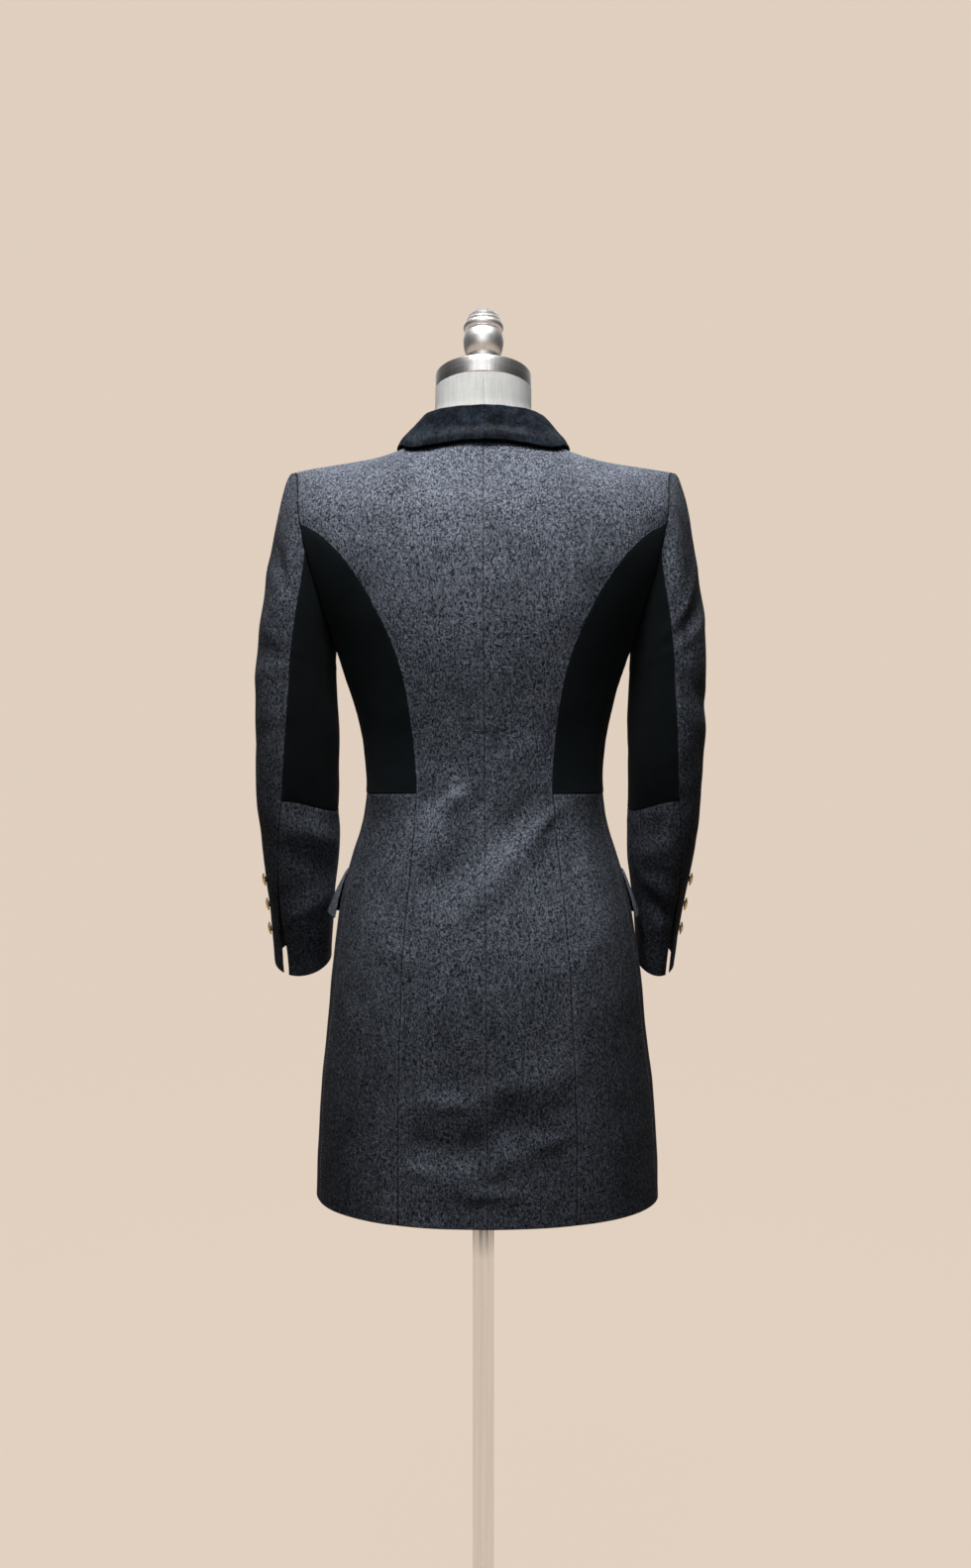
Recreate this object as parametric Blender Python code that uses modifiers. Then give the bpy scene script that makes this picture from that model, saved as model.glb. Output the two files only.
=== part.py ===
# Double-breasted denim jacket on a limbless dress form.
# The jacket faces -Y, its wearer's left is +X, and the stand's underside is at Z = 0.

import math

import bmesh
import bpy
from mathutils import Matrix, Vector

# Driving dimensions, in metres
WALL = 0.0016             # thickness of the washed denim with its facing pressed in
SEAM = 0.0002             # each panel stops this far short of a seam line
HEM = 0.596               # height of the hem above the floor
WAIST = 1.020             # height of the waist seam
UNDERARM = 1.175          # height of the bottom of the armhole
TIP = 1.2987              # height where the princess seams reach the armhole
YOKE = 1.300              # above this the columns bend over the shoulder
SHOULDER = 1.363          # height of the padded shoulder point
NECK_PART = 0.30          # share of the top edge that is neckline
NECK_HALF_WIDTH = 0.074
NAPE_BACK = 0.056
NAPE_HEIGHT = 1.389
NECK_POINT_HEIGHT = 1.3935
THROAT_FRONT = 0.062
THROAT_HEIGHT = 1.345
SHOULDER_HALF_WIDTH = 0.2035
NECK_DROP = 0.0145        # the shoulder line falls this much beside the neck, then by the slope
SHOULDER_SLOPE = 0.016
ARMHOLE_BACK = 0.30       # reach of the armhole round the back and the front
ARMHOLE_FRONT = 0.33
BUST_OUT = 0.085
BUST_HEIGHT = 1.180
BUST_WIDTH = 0.050
BUST_LENGTH = 0.065
BUST_DEPTH = 0.014
FRONT_OVERLAP = 0.065     # the fronts lap this far past the middle
BREAK_HEIGHT = 1.085      # where the lapel begins to turn
UNDERLAP_DROP = 0.0068    # the under front lies this far inside the upper one
LAPEL_TOP = 0.86          # share of the roll line, from the break point, where the lapel ends
LAPEL_WIDTH = 0.312       # reach of the lapel round the body
LAPEL_GAP = 0.0015
LAPEL_ROLL = 0.0012       # extra lift along the roll line
COLLAR_SIDE = 0.60        # share of the collar behind the shoulder seams
COLLAR_LIFT = 0.0053      # middle of the collar's edge above the cloth it lies on
COLLAR_TOP = 1.4205
COLLAR_HALF_WIDTH = 0.0645        # half width and reach behind of the collar's fold
COLLAR_BACK = 0.052
COLLAR_SPREAD = 0.005     # half width of the fold
NECK_SEAM_GAP = 0.0006    # the collar's sewn edge stands this clear of the neckline
COLLAR_END_RISE = 0.003   # the collar's edge ends this far above the lapel's top edge
COLLAR_END_SHARE = 0.40   # the collar ends over this share of the lapel's top edge
SKIRT_SWING = -0.0045
SWING_FROM = 1.200        # the skirt swings from this height down
ARMHOLE_GAP = 0.0014      # the sleeve starts this far outside the armhole
BICEPS = 1.150
ELBOW = 1.0175
CUFF = 0.838
VENT_TOP = 0.957
VENT_OPENING = 0.010
SLEEVE_RADIUS = 0.040     # rough radius that turns the vent's opening into an angle
CUFF_BUTTON_HEIGHTS = (0.932, 0.905, 0.878)
CUFF_BUTTON_ANGLE = 20.0
FRONT_BUTTON_HEIGHTS = (1.040, 0.970, 0.900)
FRONT_BUTTON_OUT = 0.052
FRONT_BUTTON = (0.0110, 0.0055)   # radius and height
CUFF_BUTTON = (0.0070, 0.0040)
FLAP_TOP = 0.936
FLAP_DEPTH = 0.048
NECK_TILT = math.radians(9.0)
CAP_CENTRE = (0.0, -0.008, 1.460)
CAP_RADIUS = 0.0515
CAP_THICKNESS = 0.019
POLE_RADIUS = 0.0115
FORM_BOTTOM = 0.800
BASE_RADIUS = 0.190
BASE_THICKNESS = 0.014
HUB_HEIGHT = 0.030
REST_GAP = 0.0003         # hard pieces that rest on each other are this far apart

# Jacket sections: height, half width, back centre, front centre, then how square the back and front are
BODY_COLUMNS = ("height", "side", "back", "front", "square")
BODY_SECTIONS = (
    (0.596, 0.1820, 0.127, 0.118, 0.62),
    (0.660, 0.1800, 0.128, 0.116, 0.62),
    (0.720, 0.1758, 0.128, 0.114, 0.62),
    (0.770, 0.1700, 0.1275, 0.112, 0.61),
    (0.830, 0.1645, 0.1255, 0.110, 0.60),
    (0.870, 0.1592, 0.122, 0.109, 0.60),
    (0.915, 0.1515, 0.113, 0.106, 0.60),
    (0.957, 0.1405, 0.101, 0.101, 0.60),
    (0.979, 0.1338, 0.093, 0.099, 0.60),
    (1.000, 0.1292, 0.086, 0.097, 0.60),
    (1.021, 0.1270, 0.081, 0.096, 0.60),
    (1.042, 0.1270, 0.079, 0.097, 0.60),
    (1.063, 0.1285, 0.079, 0.099, 0.60),
    (1.085, 0.1313, 0.081, 0.102, 0.61),
    (1.106, 0.1360, 0.084, 0.106, 0.62),
    (1.128, 0.1422, 0.0875, 0.110, 0.63),
    (1.149, 0.1492, 0.091, 0.113, 0.64),
    (1.175, 0.1585, 0.095, 0.116, 0.66),
    (1.210, 0.1760, 0.099, 0.116, 0.68),
    (1.250, 0.1935, 0.1015, 0.113, 0.70),
    (1.275, 0.2015, 0.1015, 0.109, 0.70),
    (1.300, 0.2050, 0.0985, 0.103, 0.70),
)

# Back princess seam: height, distance from the centre back seam
BACK_PRINCESS = (
    (0.596, 0.0880), (0.700, 0.0880), (0.800, 0.0855), (0.880, 0.0810), (0.940, 0.0755), (1.000, 0.0705),
    (1.021, 0.0695), (1.060, 0.0715), (1.121, 0.0790), (1.160, 0.0890), (1.194, 0.1035), (1.2286, 0.1220),
    (1.2568, 0.1420), (1.2826, 0.1660), (1.2987, 0.1890),
)

# Front princess seam: height, distance from the centre front
FRONT_PRINCESS = (
    (0.596, 0.1150), (0.700, 0.1130), (0.800, 0.1090), (0.880, 0.1030), (0.940, 0.0960), (1.000, 0.0900),
    (1.021, 0.0890), (1.060, 0.0900), (1.121, 0.0970), (1.160, 0.1040), (1.194, 0.1130), (1.2286, 0.1270),
    (1.2568, 0.1450), (1.2826, 0.1650), (1.2987, 0.1845),
)

# Side seam: height, place round the body, where 1 is the widest point of the side
SIDE_SEAM = ((0.596, 0.83), (0.800, 0.82), (0.940, 0.80), (1.020, 0.82), (1.100, 0.90), (1.175, 1.0))

# Collar's outer edge behind: share of the way from nape to shoulder, place round the body, height
COLLAR_EDGE = (
    (0.00, 0.000, 1.3575), (0.33, 0.100, 1.3525), (0.50, 0.175, 1.3460), (0.65, 0.248, 1.3425),
    (0.80, 0.300, 1.3460), (0.92, 0.330, 1.3540), (1.00, 0.345, 1.3630),
)

# Sleeve sections: height, centre across, centre fore and aft, half width, half depth, tilt in degrees
SLEEVE_COLUMNS = ("height", "across", "along", "half_width", "half_depth", "tilt")
SLEEVE_SECTIONS = (
    (1.150, 0.1980, 0.004, 0.0412, 0.0580, 0.0),
    (1.110, 0.1970, 0.006, 0.0420, 0.0560, 0.0),
    (1.085, 0.1966, 0.006, 0.0420, 0.0545, 1.0),
    (1.042, 0.1961, 0.004, 0.0413, 0.0525, 4.0),
    (1.000, 0.1956, -0.004, 0.0404, 0.0510, 8.0),
    (0.956, 0.1945, -0.017, 0.0380, 0.0495, 13.0),
    (0.912, 0.1950, -0.032, 0.0325, 0.0480, 17.0),
    (0.868, 0.1955, -0.047, 0.0280, 0.0465, 19.0),
    (0.838, 0.1955, -0.057, 0.0262, 0.0455, 20.0),
)

# Swing of the sleeves to the wearer's left: height, distance at the outer edge
SLEEVE_SWING = (
    (0.838, 0.0100), (0.890, 0.0080), (0.930, 0.0058), (1.020, 0.0048), (1.130, 0.0027), (1.300, 0.0),
)

# Hind and fore sleeve seams: height, angle from the outer side through the back, in degrees
HIND_SEAM = (
    (1.269, 90.0), (1.150, 91.0), (1.085, 84.0), (1.014, 75.0), (0.959, 63.0), (0.912, 56.0), (0.838, 55.0),
)
FORE_SEAM = ((1.269, 250.0), (1.150, 242.0), (1.014, 236.0), (0.912, 232.0), (0.838, 230.0))

# Dress form rings: height, half width, back, front, centre fore and aft is 0
FORM_RINGS = (
    (0.800, 0.1505, 0.1120, 0.0980), (0.850, 0.1500, 0.1120, 0.0985), (0.905, 0.1400, 0.1010, 0.0955),
    (0.957, 0.1275, 0.0880, 0.0900), (1.000, 0.1170, 0.0735, 0.0860), (1.045, 0.1150, 0.0670, 0.0855),
    (1.100, 0.1220, 0.0710, 0.0930), (1.160, 0.1390, 0.0810, 0.1025), (1.210, 0.1510, 0.0875, 0.1040),
    (1.250, 0.1590, 0.0885, 0.0990), (1.285, 0.1640, 0.0850, 0.0900), (1.315, 0.1640, 0.0740, 0.0770),
    (1.340, 0.1520, 0.0620, 0.0680), (1.358, 0.1280, 0.0550, 0.0620), (1.371, 0.1000, 0.0530, 0.0590),
    (1.380, 0.0785, 0.0520, 0.0545), (1.390, 0.0700, 0.0520, 0.0520), (1.400, 0.0610, 0.0495, 0.0560),
    (1.415, 0.0540, 0.0455, 0.0565), (1.430, 0.0515, 0.0440, 0.0580),
)

# Finial: radius and height above the cap, top to bottom
FINIAL_PROFILE = (
    (0.0, 0.0740), (0.0100, 0.0720), (0.0165, 0.0650), (0.0186, 0.0600), (0.0216, 0.0530), (0.0186, 0.0472),
    (0.0218, 0.0390), (0.0206, 0.0310), (0.0180, 0.0230), (0.0174, 0.0), (0.0, 0.0),
)

NORMAL_STEP = 0.002       # reach over which a surface's direction is measured

# How finely the panels are divided
SKIRT_ROWS = 10
UPPER_ROWS = 10
SHOULDER_ROWS = 5
SIDE_COLUMNS = 8
SKIRT_COLUMNS = 5
CAP_ROWS = 7
ARM_ROWS = 5
FOREARM_ROWS = 6
SLEEVE_COLUMNS_ACROSS = 10
BACK_SHARES = (0.0, 0.10, 0.20, 0.30, 0.44, 0.58, 0.72, 0.86, 1.0)
FRONT_COLUMNS = 9
LAPEL_ROWS = 16
LAPEL_COLUMNS = 7
COLLAR_HALF_ROWS = 10
COLLAR_STEPS = 7
FORM_STEPS = 24

COLOURS = {
    "denim": (0.050, 0.054, 0.066),
    "black": (0.004, 0.005, 0.006),
    "collar": (0.020, 0.024, 0.031),
    "brass": (0.420, 0.300, 0.120),
    "linen": (0.620, 0.620, 0.605),
    "steel": (0.560, 0.550, 0.540),
}


def clear_scene():
    for item in list(bpy.data.objects):
        bpy.data.objects.remove(item, do_unlink=True)


def material(colour_name, roughness, metallic=0.0):
    found = bpy.data.materials.get(colour_name)
    if found:
        return found
    made = bpy.data.materials.new(colour_name)
    made.use_nodes = True
    shader = made.node_tree.nodes["Principled BSDF"]
    shader.inputs["Base Color"].default_value = (*COLOURS[colour_name], 1.0)
    shader.inputs["Roughness"].default_value = roughness
    shader.inputs["Metallic"].default_value = metallic
    return made


def through(rows, place, value_column=1):
    """Smooth value at a place, through a table's rows in rising or falling order of their first column."""
    if rows[0][0] > rows[-1][0]:
        rows = rows[::-1]
    place = min(max(place, rows[0][0]), rows[-1][0])
    index = 0
    while index < len(rows) - 2 and place > rows[index + 1][0]:
        index += 1

    def slope(at):
        low = max(at - 1, 0)
        high = min(at + 1, len(rows) - 1)
        return (rows[high][value_column] - rows[low][value_column]) / (rows[high][0] - rows[low][0])

    start, end = rows[index], rows[index + 1]
    span = end[0] - start[0]
    part = (place - start[0]) / span
    rest = 1.0 - part
    bend = rest * slope(index) - part * slope(index + 1)
    return mix(start[value_column], end[value_column], ease(part)) + span * part * rest * bend


def mix(start, end, part):
    return start + (end - start) * part


def ease(part):
    part = min(max(part, 0.0), 1.0)
    return part * part * (3.0 - 2.0 * part)


def bezier(first, second, third, fourth, part):
    rest = 1.0 - part
    early, late = 3 * rest * rest * part, 3 * rest * part * part
    return first * rest ** 3 + second * early + third * late + fourth * part ** 3


def column(name, height):
    return through(BODY_SECTIONS, height, BODY_COLUMNS.index(name))


def bust(across, height):
    """Extra fullness of the front over each bust."""
    beside = (abs(across) - BUST_OUT) / BUST_WIDTH
    above = (height - BUST_HEIGHT) / BUST_LENGTH
    return BUST_DEPTH * math.exp(-beside ** 2 - above ** 2)


def section(around, height):
    """Point of a level section: around is 0 at the centre back, 1 at the side and 2 at the centre front."""
    side = column("side", height)
    square = column("square", height)
    if around <= 1.0:
        depth, part = column("back", height), around
    else:
        depth, part = -column("front", height), 2.0 - around
    middle = Vector((0.0, depth, height))
    beside_middle = Vector((square * side, depth, height))
    beside_edge = Vector((side, square * depth, height))
    edge = Vector((side, 0.0, height))
    point = bezier(middle, beside_middle, beside_edge, edge, part)
    if around > 1.0:
        point.y -= bust(point.x, height)
    return point


def top_edge(around):
    """Neckline and shoulder seam, met by the back for around under 1 and by the front over 1."""
    part = around if around <= 1.0 else 2.0 - around
    if part <= NECK_PART:
        turn = part / NECK_PART * math.pi / 2
        depth, height = (NAPE_BACK, NAPE_HEIGHT) if around <= 1.0 else (-THROAT_FRONT, THROAT_HEIGHT)
        return Vector((NECK_HALF_WIDTH * math.sin(turn), depth * math.cos(turn),
                       mix(height, NECK_POINT_HEIGHT, math.sin(turn) ** 2)))
    start = section(NECK_PART, YOKE).x
    reach = (section(part, YOKE).x - start) / (section(1.0, YOKE).x - start)
    across = mix(NECK_HALF_WIDTH, SHOULDER_HALF_WIDTH, reach)
    fall = NECK_DROP * (1.0 - math.exp(-reach * 5.0)) + SHOULDER_SLOPE * reach
    return Vector((across, 0.0, NECK_POINT_HEIGHT - fall))


def body(around, height):
    """Outer face of the jacket's body on its +X side; over 2 the front runs on past the centre."""
    if around > 2.0:
        point = body(4.0 - around, height)
        return Vector((-point.x, point.y, point.z))
    if height <= YOKE:
        return section(around, height)
    low = section(around, YOKE)
    step = 0.004
    rise = (low - section(around, YOKE - step)) / step
    high = top_edge(around)
    part = (height - YOKE) / (SHOULDER - YOKE)
    from_middle = around if around <= 1.0 else 2.0 - around
    ridge = ease(from_middle / NECK_PART)
    forward = -1.0 if around <= 1.0 else 1.0
    upright = Vector((0.0, 0.30 * forward, 0.95))
    level = Vector((0.0, forward, 0.04))
    arrive = upright.lerp(level, ridge)
    over_shoulder = max(0.62 * abs(low.y - high.y), 0.004)
    return bezier(low, low + rise * 0.030, high - arrive * mix(0.030, over_shoulder, ridge), high, part)


def body_normal(around, height):
    """Outward direction; back and front share it along the shoulder seam."""
    if height > SHOULDER - 0.0001 and NECK_PART < around < 2.0 - NECK_PART:
        below = SHOULDER - NORMAL_STEP
        return (body_normal(around, below) + body_normal(2.0 - around, below)).normalized()
    step = NORMAL_STEP
    height = min(height, SHOULDER - step)
    across = body(around + step, height) - body(around - step if around > step else around, height)
    if around <= step:
        across = Vector((1.0, 0.0, 0.0))
    upward = body(around, height + step) - body(around, height - step)
    return upward.cross(across).normalized()


def around_at(across, height, front=False):
    """Place round the body where the section is a given distance from the middle."""
    low, high = 0.0, 1.0
    for _ in range(30):
        middle = (low + high) / 2
        if section(2.0 - middle if front else middle, height).x < across:
            low = middle
        else:
            high = middle
    return 2.0 - low if front else low


def armhole(turn):
    """Armhole as places on the body: turn is 90 at the shoulder, 0 at the back, -90 under the arm."""
    reach = ARMHOLE_BACK if abs(turn) <= 90.0 else ARMHOLE_FRONT
    angle = math.radians(turn)
    middle = (SHOULDER + UNDERARM) / 2
    return (1.0 - reach * math.cos(angle), middle + (SHOULDER - UNDERARM) / 2 * math.sin(angle))


TIP_TURN = math.degrees(math.asin((TIP - (SHOULDER + UNDERARM) / 2) / ((SHOULDER - UNDERARM) / 2)))


def skirt_heights():
    return [mix(HEM, WAIST, row / SKIRT_ROWS) for row in range(SKIRT_ROWS + 1)]


def upper_heights():
    return [mix(WAIST, TIP, row / UPPER_ROWS) for row in range(UPPER_ROWS + 1)]


def shoulder_turns():
    return [mix(TIP_TURN, 90.0, row / SHOULDER_ROWS) for row in range(SHOULDER_ROWS + 1)]


def side_turns():
    return [mix(TIP_TURN, -90.0, step / SIDE_COLUMNS) for step in range(SIDE_COLUMNS + 1)]


def inset(grid, gap=SEAM):
    """Pull the border of a grid of points inwards, so that neighbours stay clear at their seams."""
    moved = [[point.copy() for point in row] for row in grid]
    for row, source in zip(moved, grid):
        row[0] = row[0] + (source[1] - source[0]).normalized() * gap
        row[-1] = row[-1] + (source[-2] - source[-1]).normalized() * gap
    for place in range(len(grid[0])):
        moved[0][place] = moved[0][place] + (grid[1][place] - grid[0][place]).normalized() * gap
        moved[-1][place] = moved[-1][place] + (grid[-2][place] - grid[-1][place]).normalized() * gap
    return moved


def grid_normals(grid):
    normals = []
    for r, row in enumerate(grid):
        line = []
        for c in range(len(row)):
            across = row[min(c + 1, len(row) - 1)] - row[max(c - 1, 0)]
            upward = grid[min(r + 1, len(grid) - 1)][c] - grid[max(r - 1, 0)][c]
            line.append(across.cross(upward).normalized())
        normals.append(line)
    return normals


def add_object(name, mesh, finish, smooth=True):
    item = bpy.data.objects.new(name, mesh)
    mesh.materials.append(finish)
    if smooth:
        mesh.shade_smooth()
        mesh.set_sharp_from_angle(angle=math.radians(40))
    COLLECTION.objects.link(item)
    return item


def cloth_wall(name, outer, inner, finish):
    """Closed wall between two grids of points with the same rows and columns."""
    rows, columns = len(outer), len(outer[0])
    mesh = bpy.data.meshes.new(name)
    shape = bmesh.new()
    faces = [[shape.verts.new(point) for row in grid for point in row] for grid in (outer, inner)]

    def vertex(side, row, place):
        return faces[side][row * columns + place]

    for row in range(rows - 1):
        for place in range(columns - 1):
            corners = ((row, place), (row, place + 1), (row + 1, place + 1), (row + 1, place))
            shape.faces.new([vertex(0, *corner) for corner in corners])
            shape.faces.new([vertex(1, *corner) for corner in reversed(corners)])
    border = [(0, place) for place in range(columns)]
    border += [(row, columns - 1) for row in range(1, rows)]
    border += [(rows - 1, place) for place in range(columns - 2, -1, -1)]
    border += [(row, 0) for row in range(rows - 2, 0, -1)]
    for start, end in zip(border, border[1:] + border[:1]):
        shape.faces.new((vertex(0, *end), vertex(0, *start), vertex(1, *start), vertex(1, *end)))
    bmesh.ops.triangulate(shape, faces=shape.faces)
    bmesh.ops.recalc_face_normals(shape, faces=shape.faces)
    shape.to_mesh(mesh)
    shape.free()
    return add_object(name, mesh, finish)


def sway(point):
    """Slight swing of the hanging skirt to the wearer's right."""
    point.x += SKIRT_SWING * max(SWING_FROM - point.z, 0.0) / (SWING_FROM - HEM)
    return point


def on_side(grid, side):
    """Points of a piece of the +X side, moved to either side and swung as it hangs."""
    return [[sway(Vector((side * point.x, point.y, point.z))) for point in row] for row in grid]


def panel(name, places, finish, side=1, drop=None):
    """Panel of the body from a grid of places on it; drop sinks what lies under another."""
    sunk = [[drop(*place) if drop else 0.0 for place in row] for row in places]
    normals = [[body_normal(*place) for place in row] for row in places]
    outer = inset([[body(*place) - normal * depth for place, normal, depth in zip(*rows)]
                   for rows in zip(places, normals, sunk)])
    inner = [[point - normal * WALL for point, normal in zip(*rows)] for rows in zip(outer, normals)]
    return cloth_wall(name, on_side(outer, side), on_side(inner, side), finish)


def overlay(name, places, lifts, finish, side=1, drop=None):
    """Piece that lies on a panel: the panel's own points, moved out by a lift for each."""
    normals = [[body_normal(*place) for place in row] for row in places]
    outer = [[body(*place) + normal * (lift - (drop(*place) if drop else 0.0))
              for place, normal, lift in zip(*rows)] for rows in zip(places, normals, lifts)]
    inner = [[point - normal * WALL for point, normal in zip(*rows)] for rows in zip(outer, normals)]
    cloth_wall(name, on_side(outer, side), on_side(inner, side), finish)


def coons(left, right, bottom, top):
    """Places of a four-sided patch from its edges; left and right run up, bottom and top run across."""
    rows, columns = len(left), len(bottom)
    grid = []
    for r in range(rows):
        up = r / (rows - 1)
        line = []
        for c in range(columns):
            across = c / (columns - 1)
            place = []
            for axis in (0, 1):
                sides = mix(left[r][axis], right[r][axis], across)
                ends = mix(bottom[c][axis], top[c][axis], up)
                low = mix(left[0][axis], right[0][axis], across)
                high = mix(left[-1][axis], right[-1][axis], across)
                place.append(sides + ends - mix(low, high, up))
            line.append(tuple(place))
        grid.append(line)
    return grid


def between(start, end, share):
    return tuple(mix(a, b, share) for a, b in zip(start, end))


def ruled(left, right, shares):
    return [[between(start, end, share) for share in shares] for start, end in zip(left, right)]


def seam_heights():
    return skirt_heights() + upper_heights()[1:-1]


def back_edge():
    """Outer edge of a back panel: the princess seam, then the armhole up to the shoulder."""
    edge = [(around_at(through(BACK_PRINCESS, z), z), z) for z in seam_heights()]
    return edge + [armhole(turn) for turn in shoulder_turns()]


def front_edge():
    edge = [(around_at(through(FRONT_PRINCESS, z), z, front=True), z) for z in seam_heights()]
    return edge + [armhole(180.0 - turn) for turn in shoulder_turns()]


def side_seam(height):
    return (through(SIDE_SEAM, height), height)


def make_back_panels():
    right = back_edge()
    left = [(0.0, height) for _, height in right]
    for side, word in ((1, "left"), (-1, "right")):
        panel("back_" + word, ruled(left, right, BACK_SHARES), material("denim", 0.85), side)


def even(start, end, count):
    return [between(start, end, step / count) for step in range(count + 1)]


def make_side_panels():
    """Black panels under the arms, and the hip panels below their waist seam."""
    rows = UPPER_ROWS + 1
    under = [side_seam(mix(WAIST, UNDERARM, row / UPPER_ROWS)) for row in range(rows)]
    back_line = back_edge()[SKIRT_ROWS:SKIRT_ROWS + rows]
    front_line = front_edge()[SKIRT_ROWS:SKIRT_ROWS + rows]
    back_top = [armhole(turn) for turn in side_turns()]
    front_top = [armhole(180.0 - turn) for turn in reversed(side_turns())]
    back = coons(back_line, under, even(back_line[0], under[0], SIDE_COLUMNS), back_top)
    front = coons(under, front_line, even(under[0], front_line[0], SIDE_COLUMNS), front_top)
    seam = [side_seam(z) for z in skirt_heights()]
    shares = [step / SKIRT_COLUMNS for step in range(SKIRT_COLUMNS + 1)]
    skirt_back = ruled(back_edge()[:SKIRT_ROWS + 1], seam, shares)
    skirt_front = ruled(seam, front_edge()[:SKIRT_ROWS + 1], shares)
    for side, word in ((1, "left"), (-1, "right")):
        panel("side_back_" + word, back, material("black", 0.95), side)
        panel("side_front_" + word, front, material("black", 0.95), side)
        panel("skirt_back_" + word, skirt_back, material("denim", 0.85), side)
        panel("skirt_front_" + word, skirt_front, material("denim", 0.85), side)


def roll_line(part):
    """Line where the lapel turns, from the break point up to the side of the neck."""
    start = (4.0 - around_at(FRONT_OVERLAP, BREAK_HEIGHT, front=True), BREAK_HEIGHT)
    end = (2.0 - NECK_PART, SHOULDER)
    return between(start, end, part)


def front_opening_edge(heights):
    """Front edge up to the break point, then the roll line, with one place for each given height."""
    low = [z for z in heights if z < BREAK_HEIGHT - 0.005]
    edge = [(4.0 - around_at(FRONT_OVERLAP, z, front=True), z) for z in low]
    count = len(heights) - len(low)
    return edge + [roll_line(step / (count - 1)) for step in range(count)]


def underlap(around, height):
    """How far the under front lies inside the upper one, easing out past the overlap and up the neck."""
    across = body(around, height).x
    return UNDERLAP_DROP * ease((0.105 - across) / 0.030) * ease((1.335 - height) / 0.070)


def make_fronts():
    outside = front_edge()
    opening = front_opening_edge([height for _, height in outside])
    places = ruled(outside, opening, [step / FRONT_COLUMNS for step in range(FRONT_COLUMNS + 1)])
    panel("front_left", places, material("denim", 0.85), 1, drop=underlap)
    panel("front_right", places, material("denim", 0.85), -1)


def gorge(share):
    """Top edge of the lapel from the roll line out to the peak."""
    start = roll_line(LAPEL_TOP)
    return (start[0] - LAPEL_WIDTH * share, start[1] - 0.012 * share + 0.032 * share ** 3)


def make_lapels():
    """Peaked lapels laid back on the fronts along the roll line."""
    places, lifts = [], []
    for row in range(LAPEL_ROWS + 1):
        up = row / LAPEL_ROWS
        start = roll_line(mix(0.03, LAPEL_TOP, up))
        width = mix(0.012, LAPEL_WIDTH, ease(up) ** 0.9)
        line, lift_line = [], []
        for step in range(LAPEL_COLUMNS + 1):
            share = 1.0 - step / LAPEL_COLUMNS
            top = gorge(share)
            rise = (top[1] - roll_line(LAPEL_TOP)[1]) * up ** 4
            line.append((start[0] - width * share, start[1] + rise))
            roll = LAPEL_ROLL * math.exp(-(share * width / 0.035) ** 2) * ease(up * 4.0)
            lift_line.append(WALL + LAPEL_GAP + roll)
        places.append(line)
        lifts.append(lift_line)
    for side, word, drop in ((1, "left", underlap), (-1, "right", None)):
        overlay("lapel_" + word, places, lifts, material("collar", 0.9), side, drop)


def collar_rails(part):
    """Neck seam, fold and outer edge of the collar; part is 0 at the nape and 1 at the gorge."""
    if part <= COLLAR_SIDE:
        share = part / COLLAR_SIDE
        angle = share * math.pi / 2
        seam = body(NECK_PART * share, SHOULDER) + Vector((0.0, 0.0, NECK_SEAM_GAP))
        fold = Vector((COLLAR_HALF_WIDTH * math.sin(angle), COLLAR_BACK * math.cos(angle), COLLAR_TOP))
        place = (through(COLLAR_EDGE, share), through(COLLAR_EDGE, share, 2))
    else:
        share = (part - COLLAR_SIDE) / (1.0 - COLLAR_SIDE)
        beside = roll_line(mix(1.0, LAPEL_TOP + 0.012, share))
        lift = NECK_SEAM_GAP * (1.0 - share)
        seam = body(beside[0] + 0.014 * ease(share * 3.0), beside[1]) + Vector((0.0, 0.0, lift))
        rolled = body(*beside) + body_normal(*beside) * mix(0.012, 0.0065, share)
        fold = Vector((COLLAR_HALF_WIDTH, 0.0, COLLAR_TOP)).lerp(rolled, ease(share) * 0.5 + share * 0.5)
        _, reach, edge_height = COLLAR_EDGE[-1]
        end = gorge(COLLAR_END_SHARE)
        end_height = end[1] + COLLAR_END_RISE
        place = (mix(2.0 - reach, end[0], share), mix(edge_height, end_height, share))
    return seam, fold, body(*place) + body_normal(*place) * COLLAR_LIFT


def make_collar():
    """Stand and fall turned over at the fold, from one gorge round the neck to the other."""
    rows = []
    for index in range(-COLLAR_HALF_ROWS, COLLAR_HALF_ROWS + 1):
        seam, fold, edge = collar_rails(abs(index) / COLLAR_HALF_ROWS)
        apex = (fold - (seam + edge) / 8) / 0.75
        spread = (edge - seam).normalized() * COLLAR_SPREAD
        shares = [step / COLLAR_STEPS for step in range(COLLAR_STEPS + 1)]
        line = [bezier(seam, apex - spread, apex + spread, edge, share) for share in shares]
        if index < 0:
            line = [Vector((-point.x, point.y, point.z)) for point in line]
        rows.append(line)
    outward = grid_normals(rows)
    half_wall = WALL / 2 if outward[COLLAR_HALF_ROWS][-1].y > 0 else -WALL / 2
    outer = [[p + n * half_wall for p, n in zip(*pair)] for pair in zip(rows, outward)]
    inner = [[p - n * half_wall for p, n in zip(*pair)] for pair in zip(rows, outward)]
    cloth_wall("collar", outer, inner, material("collar", 0.9))


def sleeve_section(angle, height):
    """Point of a sleeve section: angle is 0 at the outer side, 90 at the back and 180 at the inner side."""
    across, along, half_width, half_depth, tilt = [
        through(SLEEVE_SECTIONS, height, SLEEVE_COLUMNS.index(name)) for name in SLEEVE_COLUMNS[1:]]
    turn, lean = math.radians(angle), math.radians(tilt)
    depth = half_depth * math.sin(turn)
    level = height - depth * math.sin(lean)
    return Vector((across + half_width * math.cos(turn), along + depth * math.cos(lean), level))


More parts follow.
